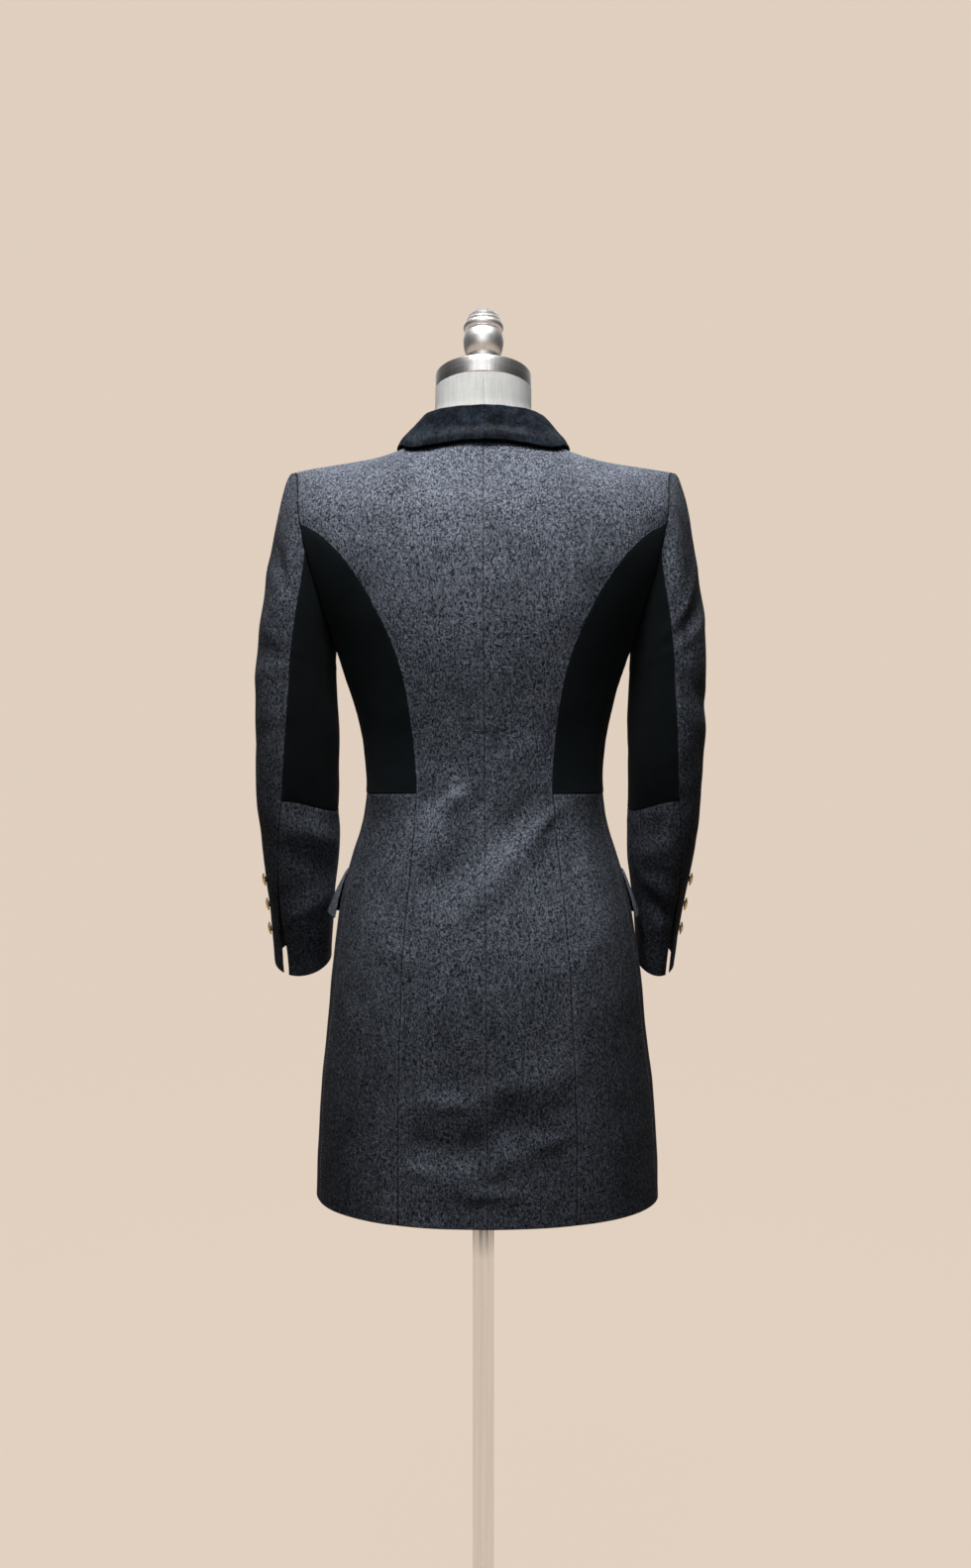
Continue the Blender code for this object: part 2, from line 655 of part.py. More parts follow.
def sleeve(angle, height):
    """Outer face of the +X sleeve; above the biceps the height runs up to the shoulder for every angle."""
    if height <= BICEPS:
        return sleeve_section(angle, height)
    ring = body(*armhole(90.0 - angle)) + Vector((ARMHOLE_GAP, 0.0, 0.0))
    arm = sleeve_section(angle, BICEPS)
    outer = max(math.cos(math.radians(angle)), 0.0)
    rise = ring.z - arm.z
    leave = Vector((
        0.002 + 0.011 * outer,
        0.007 * math.sin(math.radians(angle)),
        0.003 * outer - 0.30 * rise * (1.0 - outer ** 2),
    ))
    reach = Vector((-0.001, 0.0, 0.33 * rise))
    part = (SHOULDER - height) / (SHOULDER - BICEPS)
    return bezier(ring, ring + leave, arm + reach, arm, part)


def hang(point, side):
    """Place a sleeve point on either side: one arm swings out and the other in, from a fixed inner edge."""
    level = max(min(point.z, BICEPS), CUFF)
    across = through(SLEEVE_SECTIONS, level, SLEEVE_COLUMNS.index("across"))
    half_width = through(SLEEVE_SECTIONS, level, SLEEVE_COLUMNS.index("half_width"))
    share = (point.x - across + half_width) / (2 * half_width)
    return Vector((side * point.x + through(SLEEVE_SWING, point.z) * share, point.y, point.z))


def sleeve_heights():
    cap = [mix(SHOULDER, BICEPS, row / CAP_ROWS) for row in range(CAP_ROWS)]
    arm = [mix(BICEPS, ELBOW, row / ARM_ROWS) for row in range(ARM_ROWS)]
    forearm = [mix(ELBOW, CUFF, row / FOREARM_ROWS) for row in range(FOREARM_ROWS + 1)]
    return cap, arm, forearm


def elbow_slope(angle, height):
    """The elbow seam runs down towards the body."""
    turn = angle % 360.0
    inward = ease((turn - 80.0) / 90.0) if turn < 200.0 else ease((290.0 - turn) / 90.0)
    near = math.exp(-((height - ELBOW) / 0.045) ** 2)
    return height - 0.014 * inward * near


def sleeve_normal(angle, height):
    step = NORMAL_STEP
    above = min(height + step, SHOULDER)
    across = sleeve(angle + 1.0, height) - sleeve(angle - 1.0, height)
    upward = sleeve(angle, above) - sleeve(angle, above - 2 * step)
    return across.cross(upward).normalized()


def sleeve_piece(name, heights, start, end, finish, side):
    """Piece of a sleeve between two seams, given as angles for each height."""
    grid, normals = [], []
    for height in heights:
        first, last = start(height), end(height)
        columns = SLEEVE_COLUMNS_ACROSS
        angles = [mix(first, last, step / columns) for step in range(columns + 1)]
        levels = [elbow_slope(angle, height) for angle in angles]
        grid.append([sleeve(*place) for place in zip(angles, levels)])
        normals.append([sleeve_normal(*place) for place in zip(angles, levels)])
    outer = inset(grid)
    inner = [[p - n * WALL for p, n in zip(*pair)] for pair in zip(outer, normals)]
    hung = [[[hang(point, side) for point in row] for row in face] for face in (outer, inner)]
    return cloth_wall(name, *hung, finish)


def hind(height):
    return through(HIND_SEAM, height)


def fore(height):
    return through(FORE_SEAM, height)


def vent(height):
    """Turn of the under sleeve's edge away from the seam where the cuff is open."""
    open_part = ease((VENT_TOP - height) / (VENT_TOP - CUFF))
    return math.degrees(VENT_OPENING * open_part / SLEEVE_RADIUS)


def make_sleeves():
    cap, arm, fore_rows = sleeve_heights()
    for side, word in ((1, "left"), (-1, "right")):
        sleeve_piece("sleeve_upper_" + word, cap + arm + fore_rows, lambda z: fore(z) - 360.0, hind,
                     material("denim", 0.85), side)
        sleeve_piece("sleeve_under_" + word, cap + arm + fore_rows[:1], hind, fore,
                     material("black", 0.95), side)
        sleeve_piece("sleeve_forearm_" + word, fore_rows, lambda z: hind(z) + vent(z), fore,
                     material("denim", 0.85), side)


def make_flaps():
    """Hip pocket flaps, sewn at the top and standing off at the lower rear corner."""
    rows, columns = 5, 10
    places, lifts = [], []
    for row in range(rows + 1):
        down = row / rows
        height = FLAP_TOP - FLAP_DEPTH * down
        line, lift_line = [], []
        for step in range(columns + 1):
            share = step / columns
            line.append((mix(0.90, 1.47, share) + 0.03 * down, height + 0.012 * share))
            lift_line.append(WALL + 0.0006 + down * mix(0.0085, 0.0020, ease(share * 3.0)))
        places.append(line)
        lifts.append(lift_line)
    for side, word in ((1, "left"), (-1, "right")):
        overlay("flap_" + word, places, lifts, material("denim", 0.85), side)


def turned(name, profile, finish, place=None, segments=24):
    """Solid of revolution about Z from a profile of radius and height pairs, top to bottom."""
    mesh = bpy.data.meshes.new(name)
    mesh.from_pydata([(radius, 0.0, height) for radius, height in profile],
                     [(index, index + 1) for index in range(len(profile) - 1)], [])
    item = add_object(name, mesh, finish, smooth=False)
    screw = item.modifiers.new("Turn", "SCREW")
    screw.steps = segments
    screw.render_steps = segments
    screw.use_merge_vertices = True
    screw.merge_threshold = 0.00001
    screw.use_smooth_shade = True
    item.matrix_world = place if place else Matrix.Identity(4)
    return item


def facing(point, direction):
    """Placement at a point with local Z along a direction."""
    return Matrix.Translation(point) @ direction.to_track_quat("Z", "Y").to_matrix().to_4x4()


def button_profile(radius, height):
    shoulder, rim = (radius * 0.70, height * 0.85), (radius, height * 0.45)
    return ((0.0, height), shoulder, rim, (radius * 0.60, 0.0), (0.0, 0.0))


def make_buttons():
    brass = material("brass", 0.35, 1.0)
    for row, height in enumerate(FRONT_BUTTON_HEIGHTS):
        around = around_at(FRONT_BUTTON_OUT, height, front=True)
        point, normal = body(around, height), body_normal(around, height)
        for side, word in ((1, "left"), (-1, "right")):
            flip = Vector((side, 1.0, 1.0))
            place = facing(sway((point + normal * 0.0004) * flip), normal * flip)
            turned(f"button_{row + 1}_{word}", button_profile(*FRONT_BUTTON), brass, place, segments=16)
    for row, height in enumerate(CUFF_BUTTON_HEIGHTS):
        angle = CUFF_BUTTON_ANGLE
        point = sleeve(angle, height)
        normal = sleeve_normal(angle, height)
        for side, word in ((1, "left"), (-1, "right")):
            flip = Vector((side, 1.0, 1.0))
            place = facing(hang(point + normal * 0.0005, side), normal * flip)
            turned(f"cuff_button_{row + 1}_{word}", button_profile(*CUFF_BUTTON), brass, place, segments=12)


def make_form():
    """Smooth limbless torso with a flat underside and a neck cut at the slant of its cap."""
    rings = []
    for height, half_width, back, front in FORM_RINGS:
        ring = []
        for step in range(FORM_STEPS):
            turn = 2 * math.pi * step / FORM_STEPS
            power = 0.90 if height < 1.36 else 1.0
            across = math.copysign(abs(math.cos(turn)) ** power, math.cos(turn))
            along = math.copysign(abs(math.sin(turn)) ** power, math.sin(turn))
            ring.append(Vector((half_width * across, (back if along > 0 else front) * along, height)))
        rings.append(ring)
    under_cap = CAP_CENTRE[2] - CAP_THICKNESS / 2 - 0.0006
    slope = math.tan(NECK_TILT)
    rings.append([Vector((p.x, p.y, under_cap + (p.y - CAP_CENTRE[1]) * slope)) for p in rings[-1]])
    mesh = bpy.data.meshes.new("form_torso")
    shape = bmesh.new()
    loops = [[shape.verts.new(point) for point in ring] for ring in rings]
    for low, high in zip(loops, loops[1:]):
        for step in range(FORM_STEPS):
            after = (step + 1) % FORM_STEPS
            shape.faces.new((low[step], low[after], high[after], high[step]))
    shape.faces.new(list(reversed(loops[0])))
    shape.faces.new(loops[-1])
    bmesh.ops.triangulate(shape, faces=shape.faces)
    bmesh.ops.recalc_face_normals(shape, faces=shape.faces)
    shape.to_mesh(mesh)
    shape.free()
    add_object("form_torso", mesh, material("linen", 0.9))


def make_cap_and_finial():
    steel = material("steel", 0.30, 1.0)
    place = Matrix.Translation(CAP_CENTRE) @ Matrix.Rotation(NECK_TILT, 4, "X")
    half, bevel = CAP_THICKNESS / 2, 0.002
    profile = (
        (0.0, half), (CAP_RADIUS - bevel, half), (CAP_RADIUS, half - bevel),
        (CAP_RADIUS, bevel - half), (CAP_RADIUS - bevel, -half), (0.0, -half),
    )
    turned("neck_cap", profile, steel, place, segments=28)
    on_cap = place @ Matrix.Translation((0.0, 0.0, half + REST_GAP))
    turned("finial", FINIAL_PROFILE, steel, on_cap, segments=18)


def make_stand():
    steel = material("steel", 0.30, 1.0)
    top, bevel, hub = BASE_THICKNESS, 0.004, BASE_THICKNESS + HUB_HEIGHT
    profile = (
        (0.0, hub), (0.018, hub), (0.022, hub - 0.006), (0.026, top + 0.006), (0.040, top),
        (BASE_RADIUS - bevel, top), (BASE_RADIUS, top - bevel), (BASE_RADIUS, 0.0), (0.0, 0.0),
    )
    turned("base", profile, steel, segments=32)
    low, high = hub + REST_GAP, FORM_BOTTOM - REST_GAP
    bpy.ops.mesh.primitive_cylinder_add(
        vertices=20, radius=POLE_RADIUS, depth=high - low, location=(0, 0, (low + high) / 2))
    pole = bpy.context.object
    pole.name = "pole"
    pole.data.materials.append(steel)
    pole.data.shade_smooth()
    pole.data.set_sharp_from_angle(angle=math.radians(40))
    for holder in list(pole.users_collection):
        holder.objects.unlink(pole)
    COLLECTION.objects.link(pole)


clear_scene()
COLLECTION = bpy.data.collections.new("Denim jacket on dress form")
bpy.context.scene.collection.children.link(COLLECTION)
make_back_panels()
make_side_panels()
make_fronts()
make_lapels()
make_collar()
make_sleeves()
make_flaps()
make_buttons()
make_form()
make_cap_and_finial()
make_stand()
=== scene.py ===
"""Denim jacket on a dress form: cloth shells, buttons, stitching, stand and studio."""

import math

import bpy
import numpy as np
from bpy.props import FloatProperty, FloatVectorProperty, PointerProperty
from mathutils import Matrix, Vector


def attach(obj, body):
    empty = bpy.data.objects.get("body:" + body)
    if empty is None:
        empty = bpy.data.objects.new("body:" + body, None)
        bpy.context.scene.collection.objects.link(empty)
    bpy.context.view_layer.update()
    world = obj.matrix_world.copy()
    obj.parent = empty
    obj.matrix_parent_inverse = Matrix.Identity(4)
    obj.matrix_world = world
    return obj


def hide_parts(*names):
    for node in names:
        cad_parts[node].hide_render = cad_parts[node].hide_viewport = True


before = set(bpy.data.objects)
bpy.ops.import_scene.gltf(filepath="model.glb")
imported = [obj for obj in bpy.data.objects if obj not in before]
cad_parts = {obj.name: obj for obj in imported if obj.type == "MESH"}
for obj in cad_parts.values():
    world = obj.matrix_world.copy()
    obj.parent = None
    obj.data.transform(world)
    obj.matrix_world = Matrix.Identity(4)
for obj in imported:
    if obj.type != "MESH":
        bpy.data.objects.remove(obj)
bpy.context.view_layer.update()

bl_info = {
    "name": "Denim jacket on a dress form",
    "version": (1, 0, 0),
    "blender": (4, 5, 0),
    "location": "3D View > Sidebar > Jacket",
    "description": "Double-breasted denim jacket on a limbless dress form, with its stand and studio",
    "category": "Add Mesh",
}

# Cut of the jacket, in metres
WALL = 0.0016
HEM = 0.596
WAIST = 1.020
UNDERARM = 1.175
TIP = 1.2987
YOKE = 1.300
SHOULDER = 1.363
NECK_PART = 0.30
NECK_HALF_WIDTH = 0.074
NAPE_BACK = 0.056
NAPE_HEIGHT = 1.389
NECK_POINT_HEIGHT = 1.3935
THROAT_FRONT = 0.062
THROAT_HEIGHT = 1.345
SHOULDER_HALF_WIDTH = 0.2035
NECK_DROP = 0.0145
SHOULDER_SLOPE = 0.016
SHOULDER_BLEND = 0.006
ARMHOLE_BACK = 0.30
ARMHOLE_FRONT = 0.33
ARMHOLE_MIDDLE = (SHOULDER + UNDERARM) / 2
ARMHOLE_HALF = (SHOULDER - UNDERARM) / 2
TIP_TURN = math.degrees(math.asin((TIP - ARMHOLE_MIDDLE) / ARMHOLE_HALF))
BUST_OUT = 0.085
BUST_HEIGHT = 1.180
BUST_WIDTH = 0.050
BUST_LENGTH = 0.065
BUST_DEPTH = 0.014
FRONT_OVERLAP = 0.065
BREAK_HEIGHT = 1.085
UNDERLAP_DROP = 0.0068
LAPEL_TOP = 0.86
LAPEL_WIDTH = 0.312
LAPEL_GAP = 0.0015
LAPEL_ROLL = 0.0012
LAPEL_WALL = 0.0013
COLLAR_SIDE = 0.60
COLLAR_LIFT = 0.0050
COLLAR_SETTLE = 0.0016
COLLAR_TOP = 1.4205
COLLAR_HALF_WIDTH = 0.0645
COLLAR_BACK = 0.052
COLLAR_SPREAD = 0.005
COLLAR_WALL = 0.0020
NECK_SEAM_GAP = 0.0006
COLLAR_END_RISE = 0.003
COLLAR_END_SHARE = 0.40
SKIRT_SWING = -0.0045
SWING_FROM = 1.200
ARMHOLE_GAP = 0.0001
BICEPS = 1.150
ELBOW = 1.0175
CUFF = 0.838
VENT_TOP = 0.957
VENT_OPENING = 0.010
SLEEVE_RADIUS = 0.040
SLEEVE_CELL = 0.0046
CUFF_BUTTON_HEIGHTS = (0.932, 0.905, 0.878)
CUFF_BUTTON_ANGLE = 20.0
FRONT_BUTTON_HEIGHTS = (1.040, 0.970, 0.900)
FRONT_BUTTON_OUT = 0.052
FLAP_TOP = 0.936
FLAP_DEPTH = 0.048
FLAP_WALL = 0.0018
FLAP_BOW = {1: 0.0095, -1: 0.0048}
FLAP_BOW_REACH = 0.13
FLAP_STITCH_IN = 0.035
NECK_TILT = math.radians(9.0)
CAP_CENTRE = (0.0, -0.008, 1.460)
CAP_RADIUS = 0.0515
CAP_THICKNESS = 0.019
BASE_RADIUS = 0.190
BASE_THICKNESS = 0.014
HUB_HEIGHT = 0.030
REST_GAP = 0.0003
NORMAL_STEP = 0.002
EDGE_STEPS = (0.0, 0.0006, 0.0014, 0.0027)
STUDIO_FLOOR = 4.2
STUDIO_COVE = 1.4
SIDES = ((1, "left"), (-1, "right"))


def thousandths(rows, own=()):
    """Table from rows in millimetres or thousandths; the columns in own keep their unit."""
    table = np.array(rows, float)
    parts = np.full(table.shape[1], 1000.0)
    parts[list(own)] = 1.0
    return table / parts


# Level sections of the jacket's body: height, side, back, front, squareness
BODY_SECTIONS = thousandths((
    (596, 182, 127, 118, 620), (660, 180, 128, 116, 620), (720, 175.8, 128, 114, 620),
    (770, 170, 127.5, 112, 610), (830, 164.5, 125.5, 110, 600), (870, 159.2, 122, 109, 600),
    (915, 151.5, 113, 106, 600), (957, 140.5, 101, 101, 600), (979, 133.8, 93, 99, 600),
    (1000, 129.2, 86, 97, 600), (1021, 127, 81, 96, 600), (1042, 127, 79, 97, 600),
    (1063, 128.5, 79, 99, 600), (1085, 131.3, 81, 102, 610), (1106, 136, 84, 106, 620),
    (1128, 142.2, 87.5, 110, 630), (1149, 149.2, 91, 113, 640), (1175, 158.5, 95, 116, 660),
    (1210, 176, 99, 116, 680), (1250, 193.5, 101.5, 113, 700), (1275, 201.5, 101.5, 109, 700),
    (1300, 205, 98.5, 103, 700),
))

# Seams of the body: height, then distance from the middle or place round the body
BACK_PRINCESS = thousandths((
    (596, 88), (700, 88), (800, 85.5), (880, 81), (940, 75.5), (1000, 70.5), (1021, 69.5), (1060, 71.5),
    (1121, 79), (1160, 89), (1194, 103.5), (1228.6, 122), (1256.8, 142), (1282.6, 166), (1298.7, 189.4),
))
FRONT_PRINCESS = thousandths((
    (596, 115), (700, 113), (800, 109), (880, 103), (940, 96), (1000, 90), (1021, 89), (1060, 90),
    (1121, 97), (1160, 104), (1194, 113), (1228.6, 127), (1256.8, 145), (1282.6, 165.5), (1298.7, 186.1),
))
SIDE_SEAM = thousandths((
    (596, 830), (800, 820), (940, 800), (1020, 820), (1100, 900), (1175, 1000),
))

# Level sections of a sleeve: height, across, along, half width, half depth, tilt in degrees
SLEEVE_SECTIONS = thousandths((
    (1150, 198, 4, 41.2, 58, 0), (1110, 197, 6, 42, 56, 0), (1085, 196.6, 6, 42, 54.5, 1),
    (1042, 196.1, 4, 41.3, 52.5, 4), (1000, 195.6, -4, 40.4, 51, 8), (956, 194.5, -17, 38, 49.5, 13),
    (912, 195, -32, 32.5, 48, 17), (868, 195.5, -47, 28, 46.5, 19), (838, 195.5, -57, 26.2, 45.5, 20),
), own=(5,))

# Swing of the sleeves by height, and the angles of their two seams
SLEEVE_SWING = thousandths((
    (838, 10), (890, 8), (930, 5.8), (1020, 4.8), (1130, 2.7), (1300, 0),
))
HIND_SEAM = thousandths((
    (1269, 90), (1150, 91), (1085, 84), (1014, 75), (959, 63), (912, 56), (838, 55),
), own=(1,))
FORE_SEAM = thousandths((
    (1269, 250), (1150, 242), (1014, 236), (912, 232), (838, 230),
), own=(1,))

# Dress form: height, half width, back, front
FORM_RINGS = thousandths((
    (800, 150.5, 112, 98), (850, 150, 112, 98.5), (905, 140, 101, 95.5), (957, 127.5, 88, 90),
    (1000, 117, 73.5, 86), (1045, 115, 67, 85.5), (1100, 122, 71, 93), (1160, 139, 81, 102.5),
    (1210, 151, 87.5, 104), (1250, 159, 88.5, 99), (1285, 164, 85, 90), (1315, 164, 74, 77),
    (1340, 152, 62, 68), (1358, 128, 55, 62), (1371, 100, 53, 59), (1380, 78.5, 52, 54.5),
    (1390, 70, 52, 52), (1400, 61, 49.5, 56), (1415, 54, 45.5, 56.5), (1430, 51.5, 44, 58),
))

# Collar's outer edge behind: share of the way from nape to shoulder, place round the body, height
COLLAR_EDGE = thousandths((
    (0, 0, 1357.4), (100, 30, 1357), (200, 61, 1355.6), (330, 100, 1352.5), (500, 175, 1346),
    (650, 248, 1342.5), (800, 300, 1346), (920, 330, 1354), (1000, 345, 1363),
))

# Soft folds of the back and front: start across and up, end across and up, bow, spread, height
BACK_FOLDS = thousandths((
    (22, 898, -76, 1006, 0, 12.5, 4.4), (-57.5, 965, -74.5, 997, 0, 9, -3.4),
    (-12, 985, -50, 1018, 2, 9, -2.2), (17, 1027, 60, 990, 0, 12.5, 3.8),
    (-2, 1016.5, 40, 981.5, 0, 10, -3.4), (48, 962, 18, 925, 4, 12, -2), (-103, 985, -100, 935, 0, 8, 2),
    (-88, 975, -86, 940, 0, 8, -1.6), (78, 722, -4, 720, 4, 15, 2.6), (78, 682, -4, 680, 4, 15, -2),
    (76, 652, -2, 650, 3, 11.5, 2.4), (-8, 728, -88, 745, -4, 15, 2.6), (-8, 690, -88, 712, -4, 15, -2),
    (-8, 660, -88, 685, -3, 11.5, 2.6), (60, 632, -50, 630, 2, 9, 1.8), (85, 1350, 92, 1328, 0, 2.8, 1.6),
    (-82, 1350, -108, 1322, 2, 2.8, 1.6), (100, 1130, 70, 1085, 4, 12, 1.2),
    (-60, 1070, -12, 1052, 4, 10, 1.2), (58, 1074, 10, 1058, -3, 10, 1), (120, 905, 62, 850, 10, 17, 1.8),
    (-122, 900, -70, 842, -10, 17, 1.6),
))
FRONT_FOLDS = thousandths((
    (45, 1030, 98, 1008, -4, 9, 2.2), (-58, 1028, -104, 1002, 4, 9, 2.4), (40, 962, 100, 930, -5, 11, 2.2),
    (-62, 958, -112, 934, 5, 10, 1.8), (50, 885, 96, 800, -12, 15, 2.4), (-66, 880, -104, 790, 12, 15, 2),
    (20, 720, 96, 700, 6, 14, 2.2), (-16, 712, -96, 728, 4, 14, 2.2), (10, 664, 110, 652, 3, 11, 1.8),
    (-20, 656, -120, 662, 3, 11, 1.8), (100, 1150, 62, 1112, 4, 10, 1.6),
    (-102, 1146, -70, 1106, 4, 10, 1.6),
))

# Painted light and shade on the back's folds and slopes: across, up, reach along, reach beside, lean in
# degrees, strength
BACK_PAINTED_LIGHT = thousandths((
    (43, 1001, 36, 18, -35, 1.2), (-14, 963, 70, 13.5, -41, 0.34), (42.5, 890, 60, 30, -88, 0.24),
    (-102.5, 930, 26, 7.5, -88, 0.3), (36, 960, 36, 15, -42, -0.42), (-46, 952, 42, 11, -45, -0.42),
    (-25, 1008, 26, 11, -50, -0.38), (-115, 995, 30, 18, -80, -0.22), (105, 995, 30, 18, 80, -0.16),
    (37, 683, 50, 12, -4, -0.3), (-48, 702, 50, 12, 14, -0.3), (40, 718, 50, 13, -4, 0.2),
    (-48, 737, 50, 13, 12, 0.18), (30, 650, 50, 11, 0, 0.16), (0, 1240, 140, 40, 0, 0.06),
), own=(4, 5))

# Painted highlights and shade on the sleeves' folds and sleeve heads: side, angle, height, reach in degrees,
# reach up, strength
SLEEVE_PAINTED_LIGHT = thousandths((
    (1, 78, 1285, 16, 30, 0.7), (1, 46, 1328, 36, 26, 0.45), (1, 52, 1240, 22, 20, 0.4),
    (1, 50, 1172, 30, 13, -0.4), (1, 44, 1135, 26, 18, 0.22), (1, 76, 992, 22, 22, 0.55),
    (1, 132, 965, 40, 60, 0.6), (1, 110, 915, 34, 40, 0.6), (-1, 78, 1285, 16, 36, 0.7),
    (-1, 34, 1266, 34, 50, -0.52), (-1, 64, 1314, 15, 22, 0.7), (-1, 42, 1340, 18, 16, 0.45),
    (-1, 54, 1214, 28, 9, -0.45), (-1, 54, 1188, 26, 10, 0.5), (-1, 44, 1125, 30, 12, -0.4),
    (-1, 48, 1092, 26, 14, 0.36), (-1, 80, 990, 24, 24, 0.4), (-1, 104, 903, 12, 8, 0.6),
    (-1, 128, 940, 30, 40, -0.25),
), own=(0, 1, 3, 5))

# Soft folds of the sleeves: side, angle, height, rise per degree, reach in degrees, spread, depth
SLEEVE_FOLDS = thousandths((
    (1, 50, 1262, 0.2, 34, 11, -2.6), (1, 46, 1240, 0.16, 36, 11, 2), (1, 52, 1172, -0.1, 36, 12, -2.8),
    (1, 40, 1146, 0.14, 40, 13, 2), (1, 58, 1085, 0.18, 36, 12, -1.4), (1, 120, 985, -0.3, 46, 11, 2.6),
    (1, 110, 958, -0.34, 44, 11, -2.2), (1, 130, 915, 0.22, 42, 12, 1.8), (-1, 56, 1232, -0.26, 36, 9, 2.6),
    (-1, 52, 1211, -0.26, 38, 9, -2.6), (-1, 50, 1190, -0.22, 36, 9, 2.4), (-1, 40, 1124, 0.3, 44, 13, -3),
    (-1, 46, 1096, 0.3, 44, 12, 2.2), (-1, 60, 1052, -0.1, 34, 12, -1.2), (-1, 100, 930, 0.3, 44, 9, 2.8),
    (-1, 96, 912, 0.3, 44, 9, -2.2), (-1, 120, 968, -0.24, 42, 11, 2), (1, 268, 1058, 0.4, 52, 8.5, 3),
    (1, 272, 1036, 0.34, 56, 8, -3.4), (1, 266, 1014, 0.44, 54, 8.5, 3), (1, 275, 985, -0.3, 48, 9, -2.4),
    (-1, 270, 1064, -0.4, 52, 8.5, 2.8), (-1, 266, 1041, -0.34, 56, 8, -3.4),
    (-1, 274, 1018, -0.4, 54, 8.5, 3.2), (-1, 268, 990, 0.3, 48, 9, -2.2),
    (1, 300, 1235, -0.2, 40, 12, -2.2), (-1, 304, 1226, 0.2, 40, 12, -2.2), (1, 310, 1150, 0.18, 40, 13, 2),
    (-1, 306, 1158, -0.18, 40, 13, 2.2),
), own=(0, 1, 4))

# Turned pieces: radius and height, top to bottom; the button's are shares of its size
FINIAL_PROFILE = thousandths((
    (0, 77.7), (4.5, 77.2), (8.5, 75.6), (12, 73.4), (14.9, 70.5), (16.6, 68), (17.1, 66.8), (16, 65.9),
    (17.8, 65), (19.2, 63.4), (19.9, 61.3), (18.7, 60.4), (20.6, 59.5), (21.6, 56.8), (21.7, 54.8),
    (21.1, 52.4), (20.4, 51.1), (18.8, 50), (20.2, 48.9), (20.7, 47), (21.4, 44), (21.9, 40.5), (21.8, 37),
    (21.3, 33), (20.3, 29), (19, 25.5), (17.6, 22.8), (17, 21.5), (17, 0), (0, 0),
))
BUTTON_PROFILE = thousandths((
    (0, 1000), (280, 980), (520, 900), (700, 760), (780, 660), (800, 580), (830, 580), (870, 660),
    (930, 670), (980, 600), (1000, 480), (970, 340), (880, 270), (480, 220), (440, 0), (0, 0),
))
FRONT_BUTTON = (0.0110, 0.0055)
CUFF_BUTTON = (0.0070, 0.0040)


class JacketSizes(bpy.types.PropertyGroup):
    """Sizes of the jacket's finer form"""

    cell: FloatProperty(
        name="Cloth step", description="Spacing of the cloth's rows and columns",
        default=0.0050, min=0.002, unit="LENGTH")
    seam_depth: FloatProperty(
        name="Seam depth", description="Depth of the pressed seams", default=0.0008, unit="LENGTH")
    seam_roll: FloatProperty(
        name="Seam roll", description="Width over which cloth turns into a seam",
        default=0.0015, unit="LENGTH")
    pucker: FloatProperty(
        name="Pucker", description="Height of the puckers beside the seams", default=0.0004, unit="LENGTH")
    folds: FloatProperty(
        name="Folds", description="Strength of the soft folds", default=1.0, min=0.0, subtype="FACTOR")
    stitch_pitch: FloatProperty(
        name="Stitch pitch", description="Distance from stitch to stitch", default=0.0034, unit="LENGTH")
    stitch_length: FloatProperty(
        name="Stitch length", description="Length of a stitch that shows", default=0.0025, unit="LENGTH")
    stitch_width: FloatProperty(
        name="Thread", description="Width of the sewing thread", default=0.0007, unit="LENGTH")


class JacketColours(bpy.types.PropertyGroup):
    """Colours of the jacket, its form and its stand"""

    denim_dark: FloatVectorProperty(
        name="Denim, dark", description="Dark yarns of the denim", subtype="COLOR",
        default=(0.0135, 0.0228, 0.0305))
    denim_light: FloatVectorProperty(
        name="Denim, light", description="Worn yarns of the denim", subtype="COLOR",
        default=(0.212, 0.226, 0.280))
    black: FloatVectorProperty(
        name="Black cloth", description="Side panels and under sleeves", subtype="COLOR",
        default=(0.0040, 0.0082, 0.0108))
    collar: FloatVectorProperty(
        name="Collar cloth", description="Collar and lapels", subtype="COLOR",
        default=(0.0049, 0.0073, 0.0110))
    brass: FloatVectorProperty(
        name="Buttons", description="Gold-toned metal of the buttons", subtype="COLOR",
        default=(0.60, 0.42, 0.18))
    linen: FloatVectorProperty(
        name="Linen", description="Cover of the dress form", subtype="COLOR", default=(0.60, 0.602, 0.590))
    steel: FloatVectorProperty(
        name="Steel", description="Cap, finial and stand", subtype="COLOR", default=(0.60, 0.585, 0.58))
    backdrop: FloatVectorProperty(
        name="Backdrop", description="Studio floor and wall", subtype="COLOR", default=(0.753, 0.631, 0.527))


def sizes():
    return bpy.context.scene.jacket_sizes


def colour(name):
    return tuple(getattr(bpy.context.scene.jacket_colours, name))


# Curves and surfaces


def ease(part):
    part = np.clip(part, 0.0, 1.0)
    return part * part * (3.0 - 2.0 * part)


def bell(part):
    return np.exp(-part ** 2)


def mix(start, end, part):
    return start + (end - start) * part


def unit(vectors):
    return vectors / np.maximum(np.linalg.norm(vectors, axis=-1, keepdims=True), 1e-12)


def stack(x, y, z):
    return np.stack(np.broadcast_arrays(x, y, z), axis=-1).astype(float)


def paired(first, second):
    return np.broadcast_arrays(np.asarray(first, float), np.asarray(second, float))


def run_along(points, axis=0):
    """Distance of each point from the first, along an axis of a grid."""
    return np.insert(np.linalg.norm(np.diff(points, axis=axis), axis=-1).cumsum(axis=axis), 0, 0.0, axis=axis)


